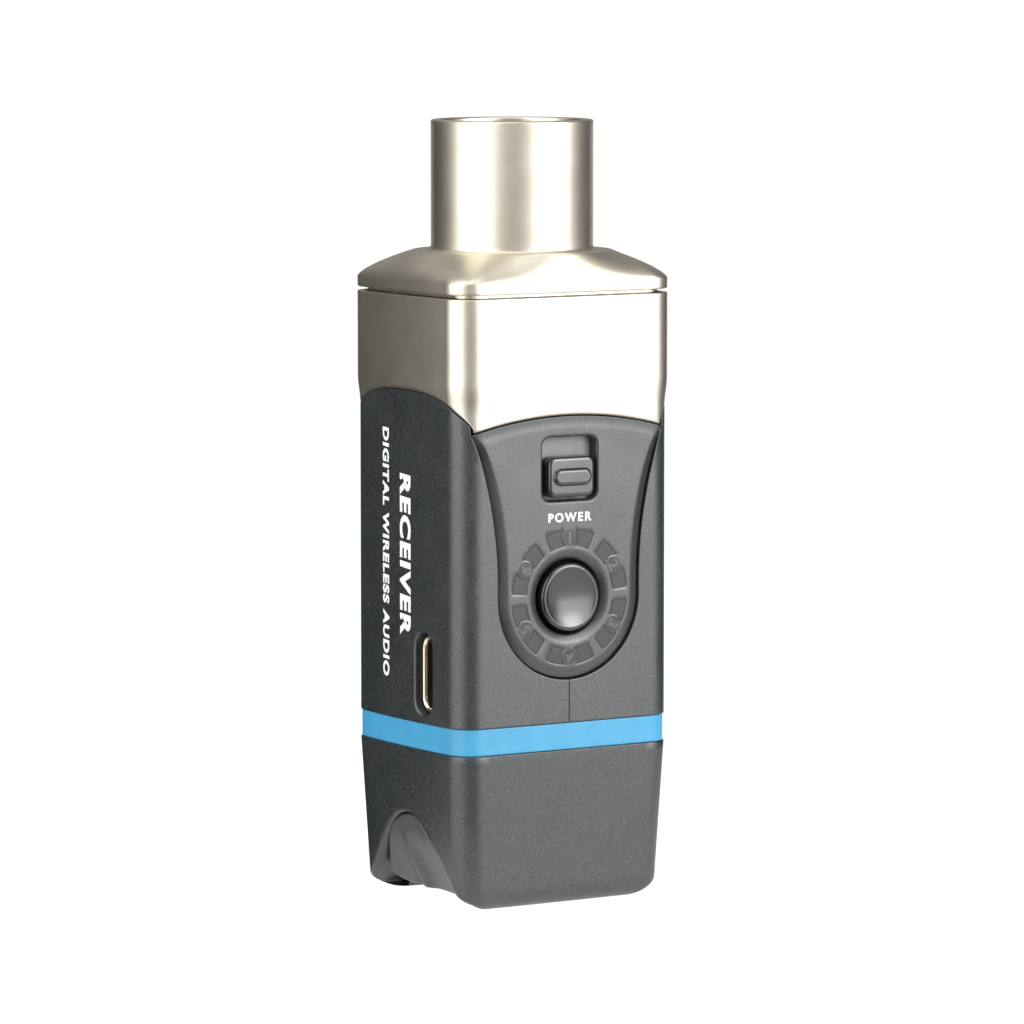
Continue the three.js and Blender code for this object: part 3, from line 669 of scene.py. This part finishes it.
def shell_region():
    """Outline of the +X half of the body's skin, counter-clockwise, in distance along the plan and Z."""
    seat = shield(PANEL_GAP)
    half = seat[(seat[:, 0] > SEAM_GAP)]
    half = on_front(half[half[:, 1] < FRONT_APEX - 1])
    start = np.argmin(half[:, 1])
    climb = np.concatenate([half[start:], half[:start]])
    below = climb[:, 1] < shroud_edge(climb[:, 0]) - SHROUD_GAP
    climb = climb[:np.argmin(below)] if not below.all() else climb
    back_seam = HALF_LOOP - SEAM_GAP
    edge_s = np.arange(climb[-1, 0] + 0.1, back_seam, 0.25)
    top = np.column_stack([edge_s, shroud_edge(edge_s) - SHROUD_GAP])
    corners = np.array([(SEAM_GAP, SHELL_LOW), (back_seam, SHELL_LOW), (back_seam, top[-1, 1])])
    loop = np.concatenate([corners, top[::-1], climb[::-1], [(SEAM_GAP, climb[0, 1])]])
    return resample(drop_doubles(loop), 0.4)


def drop_doubles(loop, least=0.02):
    """Leaves out points that are closer than least to the one before."""
    kept = [loop[0]]
    for point in loop[1:]:
        if np.hypot(*(point - kept[-1])) > least:
            kept.append(point)
    return np.array(kept)


def usb_recess(grow):
    """Outline of the recess round the socket, in Y and Z."""
    return rounded_rectangle(USB_RECESS_WIDTH + 2 * grow, USB_RECESS_HEIGHT + 2 * grow,
                             USB_RECESS_WIDTH / 2 + grow - 0.01, (USB_Y, USB_Z), 14)


def shells():
    region = shell_region()
    half_grid = grid_points(loop_steps(), np.arange(SHELL_LOW + 0.8, 61, 1.1))
    outer = [(inset_loop(region, grow), depth) for grow, depth in SHELL_EDGE]
    build("right_half_shell", *relief(outer, [], on_right, half_grid), BLACK, "root", ["right_shell"],
          "black_plastic", outward=away_from_axis)
    hole = []
    recess_start = -0.2
    recess_edge = ((0, 2.2), (0, 0.4), (0.03, 0.22), (0.1, 0.1), (0.22, 0.025), (0.34, 0), (0.44, 0))
    for grow, depth in recess_edge:
        outline = usb_recess(grow + recess_start)
        hole.append((np.column_stack([s_from_y(outline[:, 0]), outline[:, 1]]), depth))
    build("left_half_shell", *relief(outer, [hole], on_left, half_grid), BLACK, "root", ["left_shell"],
          "black_plastic", outward=away_from_axis)


def accent_band():
    s = whole_loop(flat_step=0.7)
    rings = []
    for z, depth in ((BAND_LOW, 1), (BAND_LOW, 0.08), (BAND_LOW + 0.03, 0.02), (BAND_LOW + 0.09, 0),
                     (BAND_LOW + 0.3, 0), ((BAND_LOW + BAND_HIGH) / 2, 0), (BAND_HIGH - 0.3, 0),
                     (BAND_HIGH - 0.09, 0), (BAND_HIGH - 0.03, 0.02), (BAND_HIGH, 0.08), (BAND_HIGH, 1)):
        rings.append(on_body(np.column_stack([s, np.full(len(s), z)]), -BAND_SUNK - depth))
    build("blue_band", *rings_mesh(rings), BLUE, "root", ["accent_band"], "accent_blue",
          outward=away_from_axis)


# Bottom cap ---------------------------

def cap_point(s, v):
    """A point of the cap's outside, v millimetres up its side from the flat bottom."""
    s, v = np.broadcast_arrays(np.asarray(s, float), np.asarray(v, float))
    turn = np.clip(v / FILLET, 0, math.pi / 2)
    z = np.where(v < FILLET_LENGTH, FILLET * (1 - np.cos(turn)), FILLET + v - FILLET_LENGTH)
    inset = DRAFT * (CAP_TOP - z) + FILLET * (1 - np.sin(turn))
    plan, _ = plan_at(s)
    x = plan[..., 0] * (1 - 2 * inset / BODY_WIDTH)
    y = plan[..., 1] * (1 - 2 * inset / BODY_DEPTH)
    return np.stack([x, y, z], -1)


def arch_start():
    """Where round the plan the flat bottom ends and the arch begins."""
    corner = PLAN_S < SIDE_START
    return np.interp(ARCH_END, cap_point(PLAN_S[corner], 0)[:, 0], PLAN_S[corner])


def arch_blend(s):
    """0 over the flat bottom, 1 in the arch, with a soft change between them."""
    reach = HALF_LOOP / 2 - np.abs(np.abs(s) - HALF_LOOP / 2)
    return soft_step((reach - arch_start()) / ARCH_SOFTNESS)


def cap_low(s):
    """Where the cap's side starts at each place: the flat bottom, or the edge of the arch."""
    low, high = np.zeros(len(s)), np.full(len(s), FILLET_LENGTH + ARCH_APEX)
    for _ in range(40):
        middle = (low + high) / 2
        point = cap_point(s, middle)
        under = point[:, 2] < arch_height(point[:, 1])
        low, high = np.where(under, middle, low), np.where(under, high, middle)
    return high * arch_blend(s)


def bottom_cap():
    start_place = arch_start()
    arch_steps = np.arange(start_place + 0.1, HALF_LOOP - start_place, 0.25)
    s = whole_loop(extra=arch_steps, corner_step=0.25)
    start, blend = cap_low(s), arch_blend(s)
    slope = np.gradient(start, s)
    slant = blend * np.clip(np.sqrt(1 + slope ** 2), 1, STEEPEST_LIP)
    top = FILLET_LENGTH + CAP_TOP - FILLET
    end_wall = cap_point(s, start)
    end_wall[:, 0] = end_wall[:, 0] * 0.96 * (1 - blend) + np.sign(end_wall[:, 0]) * ARCH_END * blend
    rings = [end_wall]
    for depth, rise in LIP:
        ring = cap_point(s, start + rise * slant)
        ring[:, 0] -= np.sign(ring[:, 0]) * depth * blend
        rings.append(ring)
    begin = start + LIP[-1][1] * slant
    for t in np.linspace(0, 1, 30)[1:] ** 1.4:
        rings.append(cap_point(s, begin + (top - 0.12 - begin) * t))
    for drop, inwards in ((0.04, 0.003), (0, 0.008), (0, 0.08)):
        rings.append(cap_point(s, np.full(len(s), top - drop)) * [1 - inwards, 1 - inwards, 1])
    parts = [rings_mesh(rings), bottom_plate(s, blend > 0)]
    for side in (-1, 1):
        parts += [arch_end_wall(side), plate_slope(side)]
    build("base_cap", *joined(parts), BLACK, "root", ["bottom_cap"], "black_plastic",
          outward=away_from_axis)


def one_face(loop):
    """A loop of points as the vertices and the only face of a part."""
    return loop, [tuple(range(len(loop)))]


def bottom_plate(s, arched):
    """The flat bottom, drawn in between the feet."""
    edge = cap_point(s[~arched], 0)
    edge = edge[np.argsort(edge[:, 0])]
    front, back = edge[edge[:, 1] < 0], edge[edge[:, 1] > 0][::-1]
    waist = np.array([(PLATE_HALF, -PLATE_END, 0), (PLATE_HALF, PLATE_END, 0)])
    return one_face(np.concatenate([front, waist, back, waist[::-1] * [-1, 1, 1]]))


def plate_slope(side):
    """The slope from the flat bottom up to the inner end of an arch."""
    back_corner = (side * ARCH_END, PLATE_END + PLATE_CORNER, 0)
    front_corner = (side * ARCH_END, -PLATE_END - PLATE_CORNER, 0)
    strip = [(side * PLATE_HALF, -PLATE_END, 0), (side * PLATE_HALF, PLATE_END, 0),
             (side * ARCH_END, PLATE_END, PLATE_RISE), (side * ARCH_END, -PLATE_END, PLATE_RISE)]
    strip_face, back_face, front_face = (1, 2, 3, 4), (0, 2, 3), (5, 1, 4)
    return np.array([back_corner, *strip, front_corner]), [strip_face, back_face, front_face]


def arch_end_wall(side):
    """The upright wall at the inner end of an arch, behind the grip piece."""
    x = side * ARCH_END
    y = np.linspace(-PLATE_END, PLATE_END, 60)
    top = np.column_stack([np.full(len(y), x), y, np.maximum(arch_height(y), PLATE_RISE + 0.01)])
    return one_face(np.concatenate([top, [(x, PLATE_END, PLATE_RISE), (x, -PLATE_END, PLATE_RISE)]]))


def grip_outline():
    """Outline of the grip piece in Y and Z, inside the arch: straight flanks and round lower corners."""
    t = np.linspace(0, 1, 40)
    flank_start = (GRIP_HALF, GRIP_CORNER_Z)
    flank = cubic(flank_start, (GRIP_HALF - 1.4, 4.7), (GRIP_FOOT, GRIP_APEX), (0, GRIP_APEX), t)
    corner = cubic((GRIP_FOOT, GRIP_LOW), (6.6, GRIP_LOW + 0.25), (GRIP_HALF, 1.7), flank_start, t)
    half = np.concatenate([corner[:-1], flank])
    return drop_doubles(np.concatenate([half, (half * [-1, 1])[::-1][1:]]))


def grip_x(y, z):
    """Distance of the grip's leaning hollow face from the middle plane."""
    below = SCOOP_BEND - z
    lean = SCOOP_LEAN * (below + np.sqrt(below ** 2 + SCOOP_SOFTNESS ** 2)) / 2
    hollow = SCOOP_TOP_X - lean + SCOOP_RADIUS - np.sqrt(SCOOP_RADIUS ** 2 - y ** 2)
    ahead = CREASE_Y - y
    groove = GROOVE_DEPTH * np.exp(-(ahead / GROOVE_WIDTH) ** 2)
    ridge = RIDGE_HEIGHT * np.exp(-((ahead - RIDGE_AHEAD) / RIDGE_WIDTH) ** 2)
    ridge = ridge * np.clip(ahead / RIDGE_START, 0, 1)
    return hollow + soft_step((CREASE_TOP - z) / CREASE_FADE) * (ridge - groove)


def grip_pieces():
    outline = resample(grip_outline(), 0.3)
    edge = [(inset_loop(outline, grow), depth) for grow, depth in
            ((0, 2.4), (0, 0.3), (0.05, 0.14), (0.16, 0.04), (0.32, 0), (0.42, 0))]
    grid = grid_points(np.arange(-10.5, 10.6, 0.28), np.arange(GRIP_LOW, ARCH_APEX, 0.3))
    parts = []
    for side in (-1, 1):
        def place(points, depth, side=side):
            x = grip_x(points[:, 0], points[:, 1]) - depth
            return np.column_stack([side * x, points[:, 0], points[:, 1]])
        parts.append(relief(edge, [], place, grid, clear=0.2))
    build("finger_grips", *joined(parts), GREY, "root", ["grip_insert"], "grey_plastic",
          outward=lambda centre: Vector((math.copysign(1, centre[0]), 0, 0)))


# Front panel --------------------------

def digit_angle(i):
    """Angle of a digit on the ring, clockwise from the top."""
    return math.radians(90 - i * 60)


def digit_place(i):
    return np.array([RING_MIDDLE * math.cos(digit_angle(i)), DIAL + RING_MIDDLE * math.sin(digit_angle(i))])


def ring_window(i, side, grow):
    """One window beside digit i, trimmed back round the digit's disc."""
    middle = 90 - 60 * i
    near, far = middle + side * DIGIT_HALF, middle + side * RING_REACH
    low, high = math.radians(min(near, far)), math.radians(max(near, far))
    trim = grow / RING_MIDDLE
    sweep = np.linspace(low - trim, high + trim, 14)
    outer, inner = RING_OUTER + grow, RING_INNER - grow
    arcs = [np.column_stack([radius * np.cos(angle), DIAL + radius * np.sin(angle)])
            for radius, angle in ((outer, sweep), (inner, sweep[::-1]))]
    ends = []
    for a, b in ((arcs[0][-1], arcs[1][0]), (arcs[1][-1], arcs[0][0])):
        ends.append(np.array([a + (b - a) * t for t in np.linspace(0, 1, 10)[1:-1]]))
    loop = np.concatenate([arcs[0], ends[0], arcs[1], ends[1]])
    centre, disc = digit_place(i), DIGIT_CLEARANCE - grow
    away = loop - centre
    distance = np.maximum(np.hypot(away[:, 0], away[:, 1]), 1e-6)
    pushed = centre + away / distance[:, None] * disc
    return np.where((distance < disc)[:, None], pushed, loop)


def on_panel(points, depth):
    return on_body(points, PANEL_PROUD - depth)


def on_panel_edge(points, depth):
    """As on_panel, but the bevel fades away towards the panel's arched top."""
    x = plan_at(points[:, 0])[0][:, 0]
    top_radius = FRONT_RADIUS - PANEL_GAP
    top = FRONT_APEX - FRONT_RADIUS + np.sqrt(top_radius ** 2 - x ** 2)
    if depth < 1:
        depth = depth * (0.02 + 0.98 * np.clip((top - points[:, 1] - 0.1) / 2.2, 0, 1))
    return on_panel(points, depth)


def control_panel():
    bevel = ((0, 1.1), (0, 0.52), (-0.06, 0.44), (-0.2, 0.36), (-0.65, 0.2), (-1.05, 0.06),
             (-1.25, 0.01), (-1.4, 0))
    outer = [(on_front(shield(grow)), depth) for grow, depth in bevel]
    holes = []
    for i in range(6):
        for side in (-1, 1):
            steps = ((-0.03, 0.8), (-0.03, 0.02), (0, 0))
            holes.append([(on_front(ring_window(i, side, grow)), depth) for grow, depth in steps])
    sink = [(KNOB_HOLE, 1.6), (KNOB_HOLE, SINK_DEPTH + 0.1)]
    for t in np.linspace(0.04, 1, 9):
        sink.append((KNOB_HOLE + (SINK - KNOB_HOLE) * t, SINK_DEPTH * (1 - t) ** 1.6))
    sink.append((SINK + 0.12, 0))
    holes.append([(on_front(circle(radius, (0, DIAL))), depth) for radius, depth in sink])
    window = ((-0.28, 1.5), (-0.28, 0.4), (-0.24, 0.22), (-0.15, 0.09), (-0.02, 0.02), (0.1, 0), (0.18, 0))
    holes.append([(on_front(slider_window(grow)), depth) for grow, depth in window])
    grid = grid_points(np.arange(-13, 13.1, 0.55), np.arange(26, 58, 0.55))
    build("control_panel", *relief(outer, holes, on_panel_edge, grid, 0.22), PANEL, "root", ["front_panel"],
          "panel_plastic", outward=to_front)


def window_lenses():
    """The twelve smoky windows of the light ring, almost flush with the panel, and its base behind them."""
    parts = []
    for i in range(6):
        for side in (-1, 1):
            rings = [on_panel(on_front(ring_window(i, side, grow)), depth)
                     for grow, depth in ((-0.05, 1.0), (-0.05, 0.03), (-0.08, 0.018))]
            parts.append(rings_mesh(rings, end_cap=True))
    _, high = span("channel_light_ring")
    inner, outer, front, back = RING_BASE_INNER, high[0], RING_BASE_Y, high[1]
    profile = [(inner, front), (outer, front), (outer, back), (inner, back), (inner, front)]
    parts.append(lathe(profile, 96, (0, DIAL), along_y=True))
    build("light_ring", *joined(parts), SMOKY, "root", ["channel_light_ring"], "smoky_lens")


def slider_window(grow):
    return rounded_rectangle(OPENING_WIDTH + 2 * grow, OPENING_HEIGHT + 2 * grow, OPENING_CORNER + grow,
                             (0, OPENING_Z), 12)


def stacked_plate(outline, levels):
    """A plate facing the front: outline(grow) at each (grow, y), closed at both ends."""
    rings = []
    for grow, y in levels:
        loop = outline(grow)
        rings.append(np.column_stack([loop[:, 0], np.full(len(loop), y), loop[:, 1]]))
    return rings_mesh(rings, start_cap=True, end_cap=True)


def power_slider():
    low, high = span("power_slider_cap")
    centre = (0, (low[2] + high[2]) / 2)
    width, height = high[0] - low[0], high[2] - low[2]
    back, crest = high[1], low[1]
    face = crest + RIB_PROUD

    def block(grow):
        return rounded_rectangle(width + 2 * grow, height + 2 * grow, SLIDER_CORNER + grow, centre, 10)

    def rib(grow):
        return rounded_rectangle(RIB_LENGTH + 2 * grow, RIB_WIDTH + 2 * grow, RIB_CORNER + grow, centre, 12)

    block_levels = [(0, back), (0, face + 0.42), (-0.03, face + 0.24), (-0.12, face + 0.1),
                    (-0.26, face + 0.02), (-0.42, face), (-0.55, face)]
    rib_levels = [(0.3, face + 0.2), (0.14, face), (0.03, face - 0.06), (0, face - 0.16),
                  (-0.04, crest + 0.12), (-0.14, crest + 0.03), (-0.3, crest), (-0.4, crest)]
    parts = [stacked_plate(block, block_levels), stacked_plate(rib, rib_levels)]
    build("slider_knob", *joined(parts), BUTTON, "power_slider", ["power_slider_cap"], "button_plastic")


def push_button():
    face, back = BUTTON_LOW[1], BUTTON_HIGH[1]
    profile = [(0, back), (STEM, back), (STEM, FLANGE_BACK_Y), (FLANGE, FLANGE_BACK_Y),
               (FLANGE, FLANGE_FRONT_Y), (KNOB, FLANGE_FRONT_Y), (KNOB, FLANGE_ROOT_Y)]
    rounded_rim = ((0, 0.5), (0, 0.32), (0.05, 0.18), (0.16, 0.07), (0.32, 0.01), (0.45, 0), (0.56, 0.015))
    profile += [(KNOB - inwards, face + drop) for inwards, drop in rounded_rim]
    profile.append((DISH_RIM, face + DISH_EDGE_DROP))
    for t in np.linspace(1, 0, 16)[1:]:
        profile.append((DISH_RIM * t, face + DISH_EDGE_DROP + (DISH_DEPTH - DISH_EDGE_DROP) * (1 - t * t)))
    build("push_button", *lathe(profile, 128, (0, DIAL), along_y=True), BUTTON, "channel_button",
          ["channel_button"], "button_plastic")


# USB socket ---------------------------

def usb_socket():
    mouth, back = USB_LOW[0], USB_HIGH[0]
    height, width = USB_HIGH[2] - USB_LOW[2], USB_HIGH[1] - USB_LOW[1]
    rings = []
    for shrink, x in ((0, back), (0, mouth + 0.15), (0.04, mouth + 0.04), (0.1, mouth),
                      (0.18, mouth + 0.01), (0.3, mouth + 0.09), (0.41, mouth + 0.24),
                      (USB_WALL, mouth + 0.5), (USB_WALL, back - USB_STEEL_END)):
        loop = rounded_rectangle(width - 2 * shrink, height - 2 * shrink, width / 2 - shrink - 0.01,
                                 (USB_Y, USB_Z), 14)
        rings.append(np.column_stack([np.full(len(loop), x), loop]))
    build("usb_socket_shell", *rings_mesh(rings), CONTACT, "root", ["usb_shell"], "contact_metal")


# Printing -----------------------------

def lettering(words, height, bold, slant=0.0, widen=1.0, spacing=1.0):
    """Flat outlines of generic words as points and faces, centred, height millimetres tall."""
    curve = bpy.data.curves.new("lettering", "FONT")
    curve.body = words
    curve.offset, curve.shear, curve.space_character = bold, slant, spacing
    curve.align_x = "CENTER"
    curve.resolution_u = 6
    holder = bpy.data.objects.new("lettering", curve)
    bpy.context.scene.collection.objects.link(holder)
    bpy.context.view_layer.update()
    mesh = bpy.data.meshes.new_from_object(holder.evaluated_get(bpy.context.evaluated_depsgraph_get()))
    points = np.array([v.co[:2] for v in mesh.vertices])
    faces = [tuple(p.vertices) for p in mesh.polygons]
    bpy.data.objects.remove(holder)
    bpy.data.meshes.remove(mesh)
    low, high = points.min(axis=0), points.max(axis=0)
    points = (points - (low + high) / 2) * height / (high[1] - low[1])
    return points * [widen, 1], faces


def print_on(name, flat, faces, place, ink, slot, proud=0.012):
    """Lays flat lettering on a surface as a thin coat of ink."""
    top = place(flat, -proud)
    build(name, top, faces, ink, "root", [], slot, weld=1e-5, outward=away_from_axis)


def printing():
    flat, faces = lettering("POWER", POWER_HEIGHT, 0.035, spacing=1.3)
    flat = flat * [POWER_WIDTH / np.ptp(flat[:, 0]), 1]
    print_on("power_legend", on_front(flat + [0, POWER_Z]), faces, on_panel, WHITE_INK, None)

    side_legends = (("function_legend", "RECEIVER", 2.45, 18.9, -0.62, 40.85),
                    ("type_legend", "DIGITAL WIRELESS AUDIO", 1.5, 29.2, 3.85, 40.8))
    for name, words, height, along, y, z in side_legends:
        flat, faces = lettering(words, height, 0.045, slant=0.07, spacing=1.15)
        flat = flat * [along / np.ptp(flat[:, 0]), 1]
        turned = np.column_stack([y - flat[:, 1], z - flat[:, 0]])
        turned = np.column_stack([s_from_y(turned[:, 0]), turned[:, 1]])
        print_on(name, turned, faces, on_left, WHITE_INK, None)

    for i in range(6):
        centre = digit_place(i)
        disc = circle(DIGIT_DISC, (0, 0), 40)
        print_on(f"digit_disc_{i + 1}", on_front(centre + disc), [tuple(range(len(disc)))], on_panel,
                 DIAL_INK, "smoky_lens", 0.006)
        flat, faces = lettering(str(i + 1), DIGIT_HEIGHT, 0.035, widen=1.05)
        turn = digit_angle(i) - math.pi / 2
        spin = np.array([[math.cos(turn), math.sin(turn)], [-math.sin(turn), math.cos(turn)]])
        print_on(f"digit_{i + 1}", on_front(centre + flat @ spin), faces, on_panel, PANEL,
                 "panel_plastic", 0.014)


# Stage, lights and camera -------------

CAMERA_AZIMUTH, CAMERA_PITCH, CAMERA_DISTANCE, LENS = -31.8, 5.74, 677.3, 202.85
TARGET = Vector((0, 0, 44.95))


def direction(azimuth):
    """Level direction at an azimuth; 0 is in front of the part and 90 is at its +X side."""
    angle = math.radians(azimuth)
    return Vector((math.sin(angle), -math.cos(angle), 0))


def stage_plane(name, corners, material):
    mesh = bpy.data.meshes.new(name)
    mesh.from_pydata([tuple(Vector(c) * MM) for c in corners], [], [(0, 1, 2, 3)])
    plane = bpy.data.objects.new(name, mesh)
    bpy.context.scene.collection.objects.link(plane)
    plane.data.materials.append(material)
    return plane


def floor():
    """A pale sheet that glows softly, so that it stays even to the far edge."""
    shader = Shader("floor_mat", Roughness=0.9, Specular_IOR_Level=0.1)
    shader.shader.inputs["Emission Color"].default_value = (1, 1, 1, 1)
    shader.shader.inputs["Emission Strength"].default_value = 1.0
    paper = shader.noise(40, 2)
    shader.use(Base_Color=shader.colours(paper, (0.2, 0.2, 0.2), (0.22, 0.22, 0.22)))
    reach = 25000
    stage_plane("floor", [(-reach, -reach, 0), (reach, -reach, 0), (reach, reach, 0), (-reach, reach, 0)],
                shader.material)


def black_cloth():
    shader = Shader("black_cloth_mat", Roughness=1.0, Specular_IOR_Level=0.0)
    cloth = shader.noise(3, 2)
    return shader.use(Base_Color=shader.colours(cloth, (0.004, 0.004, 0.004), (0.01, 0.01, 0.01)))


def flag(name, start, end, near, far, height, cloth):
    """A black card and the black mat in front of it, which darken one side's reflections."""
    lift = Vector((0, 0, 0.5))
    a, b = direction(start) * far + lift, direction(end) * far + lift
    if height:
        up = Vector((0, 0, height))
        stage_plane(name + "_card", [a, b, b + up, a + up], cloth).visible_camera = False
    inner_a, inner_b = direction(start) * near + lift, direction(end) * near + lift
    stage_plane(name + "_mat", [inner_a, inner_b, b, a], cloth).visible_camera = False


def softbox(name, azimuth, height, distance, width, tall, radiance, colour=(1, 1, 1)):
    """A rectangular light that faces the part."""
    light = bpy.data.lights.new(name, "AREA")
    light.shape = "RECTANGLE"
    light.size, light.size_y = width * MM, tall * MM
    light.energy = radiance * math.pi * light.size * light.size_y
    light.color = colour
    lamp = bpy.data.objects.new(name, light)
    lamp.location = (direction(azimuth) * distance + Vector((0, 0, height))) * MM
    lamp.rotation_euler = (lamp.location - TARGET * MM).to_track_quat("Z", "Y").to_euler()
    lamp.visible_camera = False
    bpy.context.scene.collection.objects.link(lamp)


def lights():
    softbox("right_softbox", 25.5, 190, 370, 330, 420, 4.2)
    softbox("left_softbox", -85, 190, 370, 390, 420, 3.2)
    softbox("top_softbox", 10, 700, 120, 500, 400, 1.6)
    softbox("top_left_softbox", -105, 560, 260, 420, 350, 1.7)
    softbox("back_left_softbox", -165, 380, 400, 360, 260, 0.35)
    softbox("spot_softbox", 31, 205, 480, 190, 180, 6)
    cloth = black_cloth()
    flag("left_back_flag", -118, -186, 24, 330, 290, cloth)
    flag("right_back_flag", 60, 118, 112, 330, 330, cloth)
    flag("front_flag", -56, -4, 50, 560, 0, cloth)
    world = bpy.data.worlds.new("studio")
    world.use_nodes = True
    world.node_tree.nodes["Background"].inputs["Color"].default_value = (1, 0.98, 0.95, 1)
    world.node_tree.nodes["Background"].inputs["Strength"].default_value = 0.22
    bpy.context.scene.world = world


def camera():
    lens = bpy.data.cameras.new("camera")
    lens.sensor_width, lens.lens = 36, LENS
    lens.clip_start, lens.clip_end = 0.01, 60
    eye = bpy.data.objects.new("camera", lens)
    pitch = math.radians(CAMERA_PITCH)
    back = direction(CAMERA_AZIMUTH) * math.cos(pitch) + Vector((0, 0, math.sin(pitch)))
    eye.location = (TARGET + back * CAMERA_DISTANCE) * MM
    eye.rotation_euler = back.to_track_quat("Z", "Y").to_euler()
    bpy.context.scene.collection.objects.link(eye)
    bpy.context.scene.camera = eye
    bpy.context.scene.view_settings.view_transform = "Standard"


camera()
dress_cad_nodes()
barrel()
contact_pins()
top_cap()
metal_shroud()
shells()
accent_band()
bottom_cap()
grip_pieces()
control_panel()
window_lenses()
power_slider()
push_button()
usb_socket()
printing()
floor()
lights()
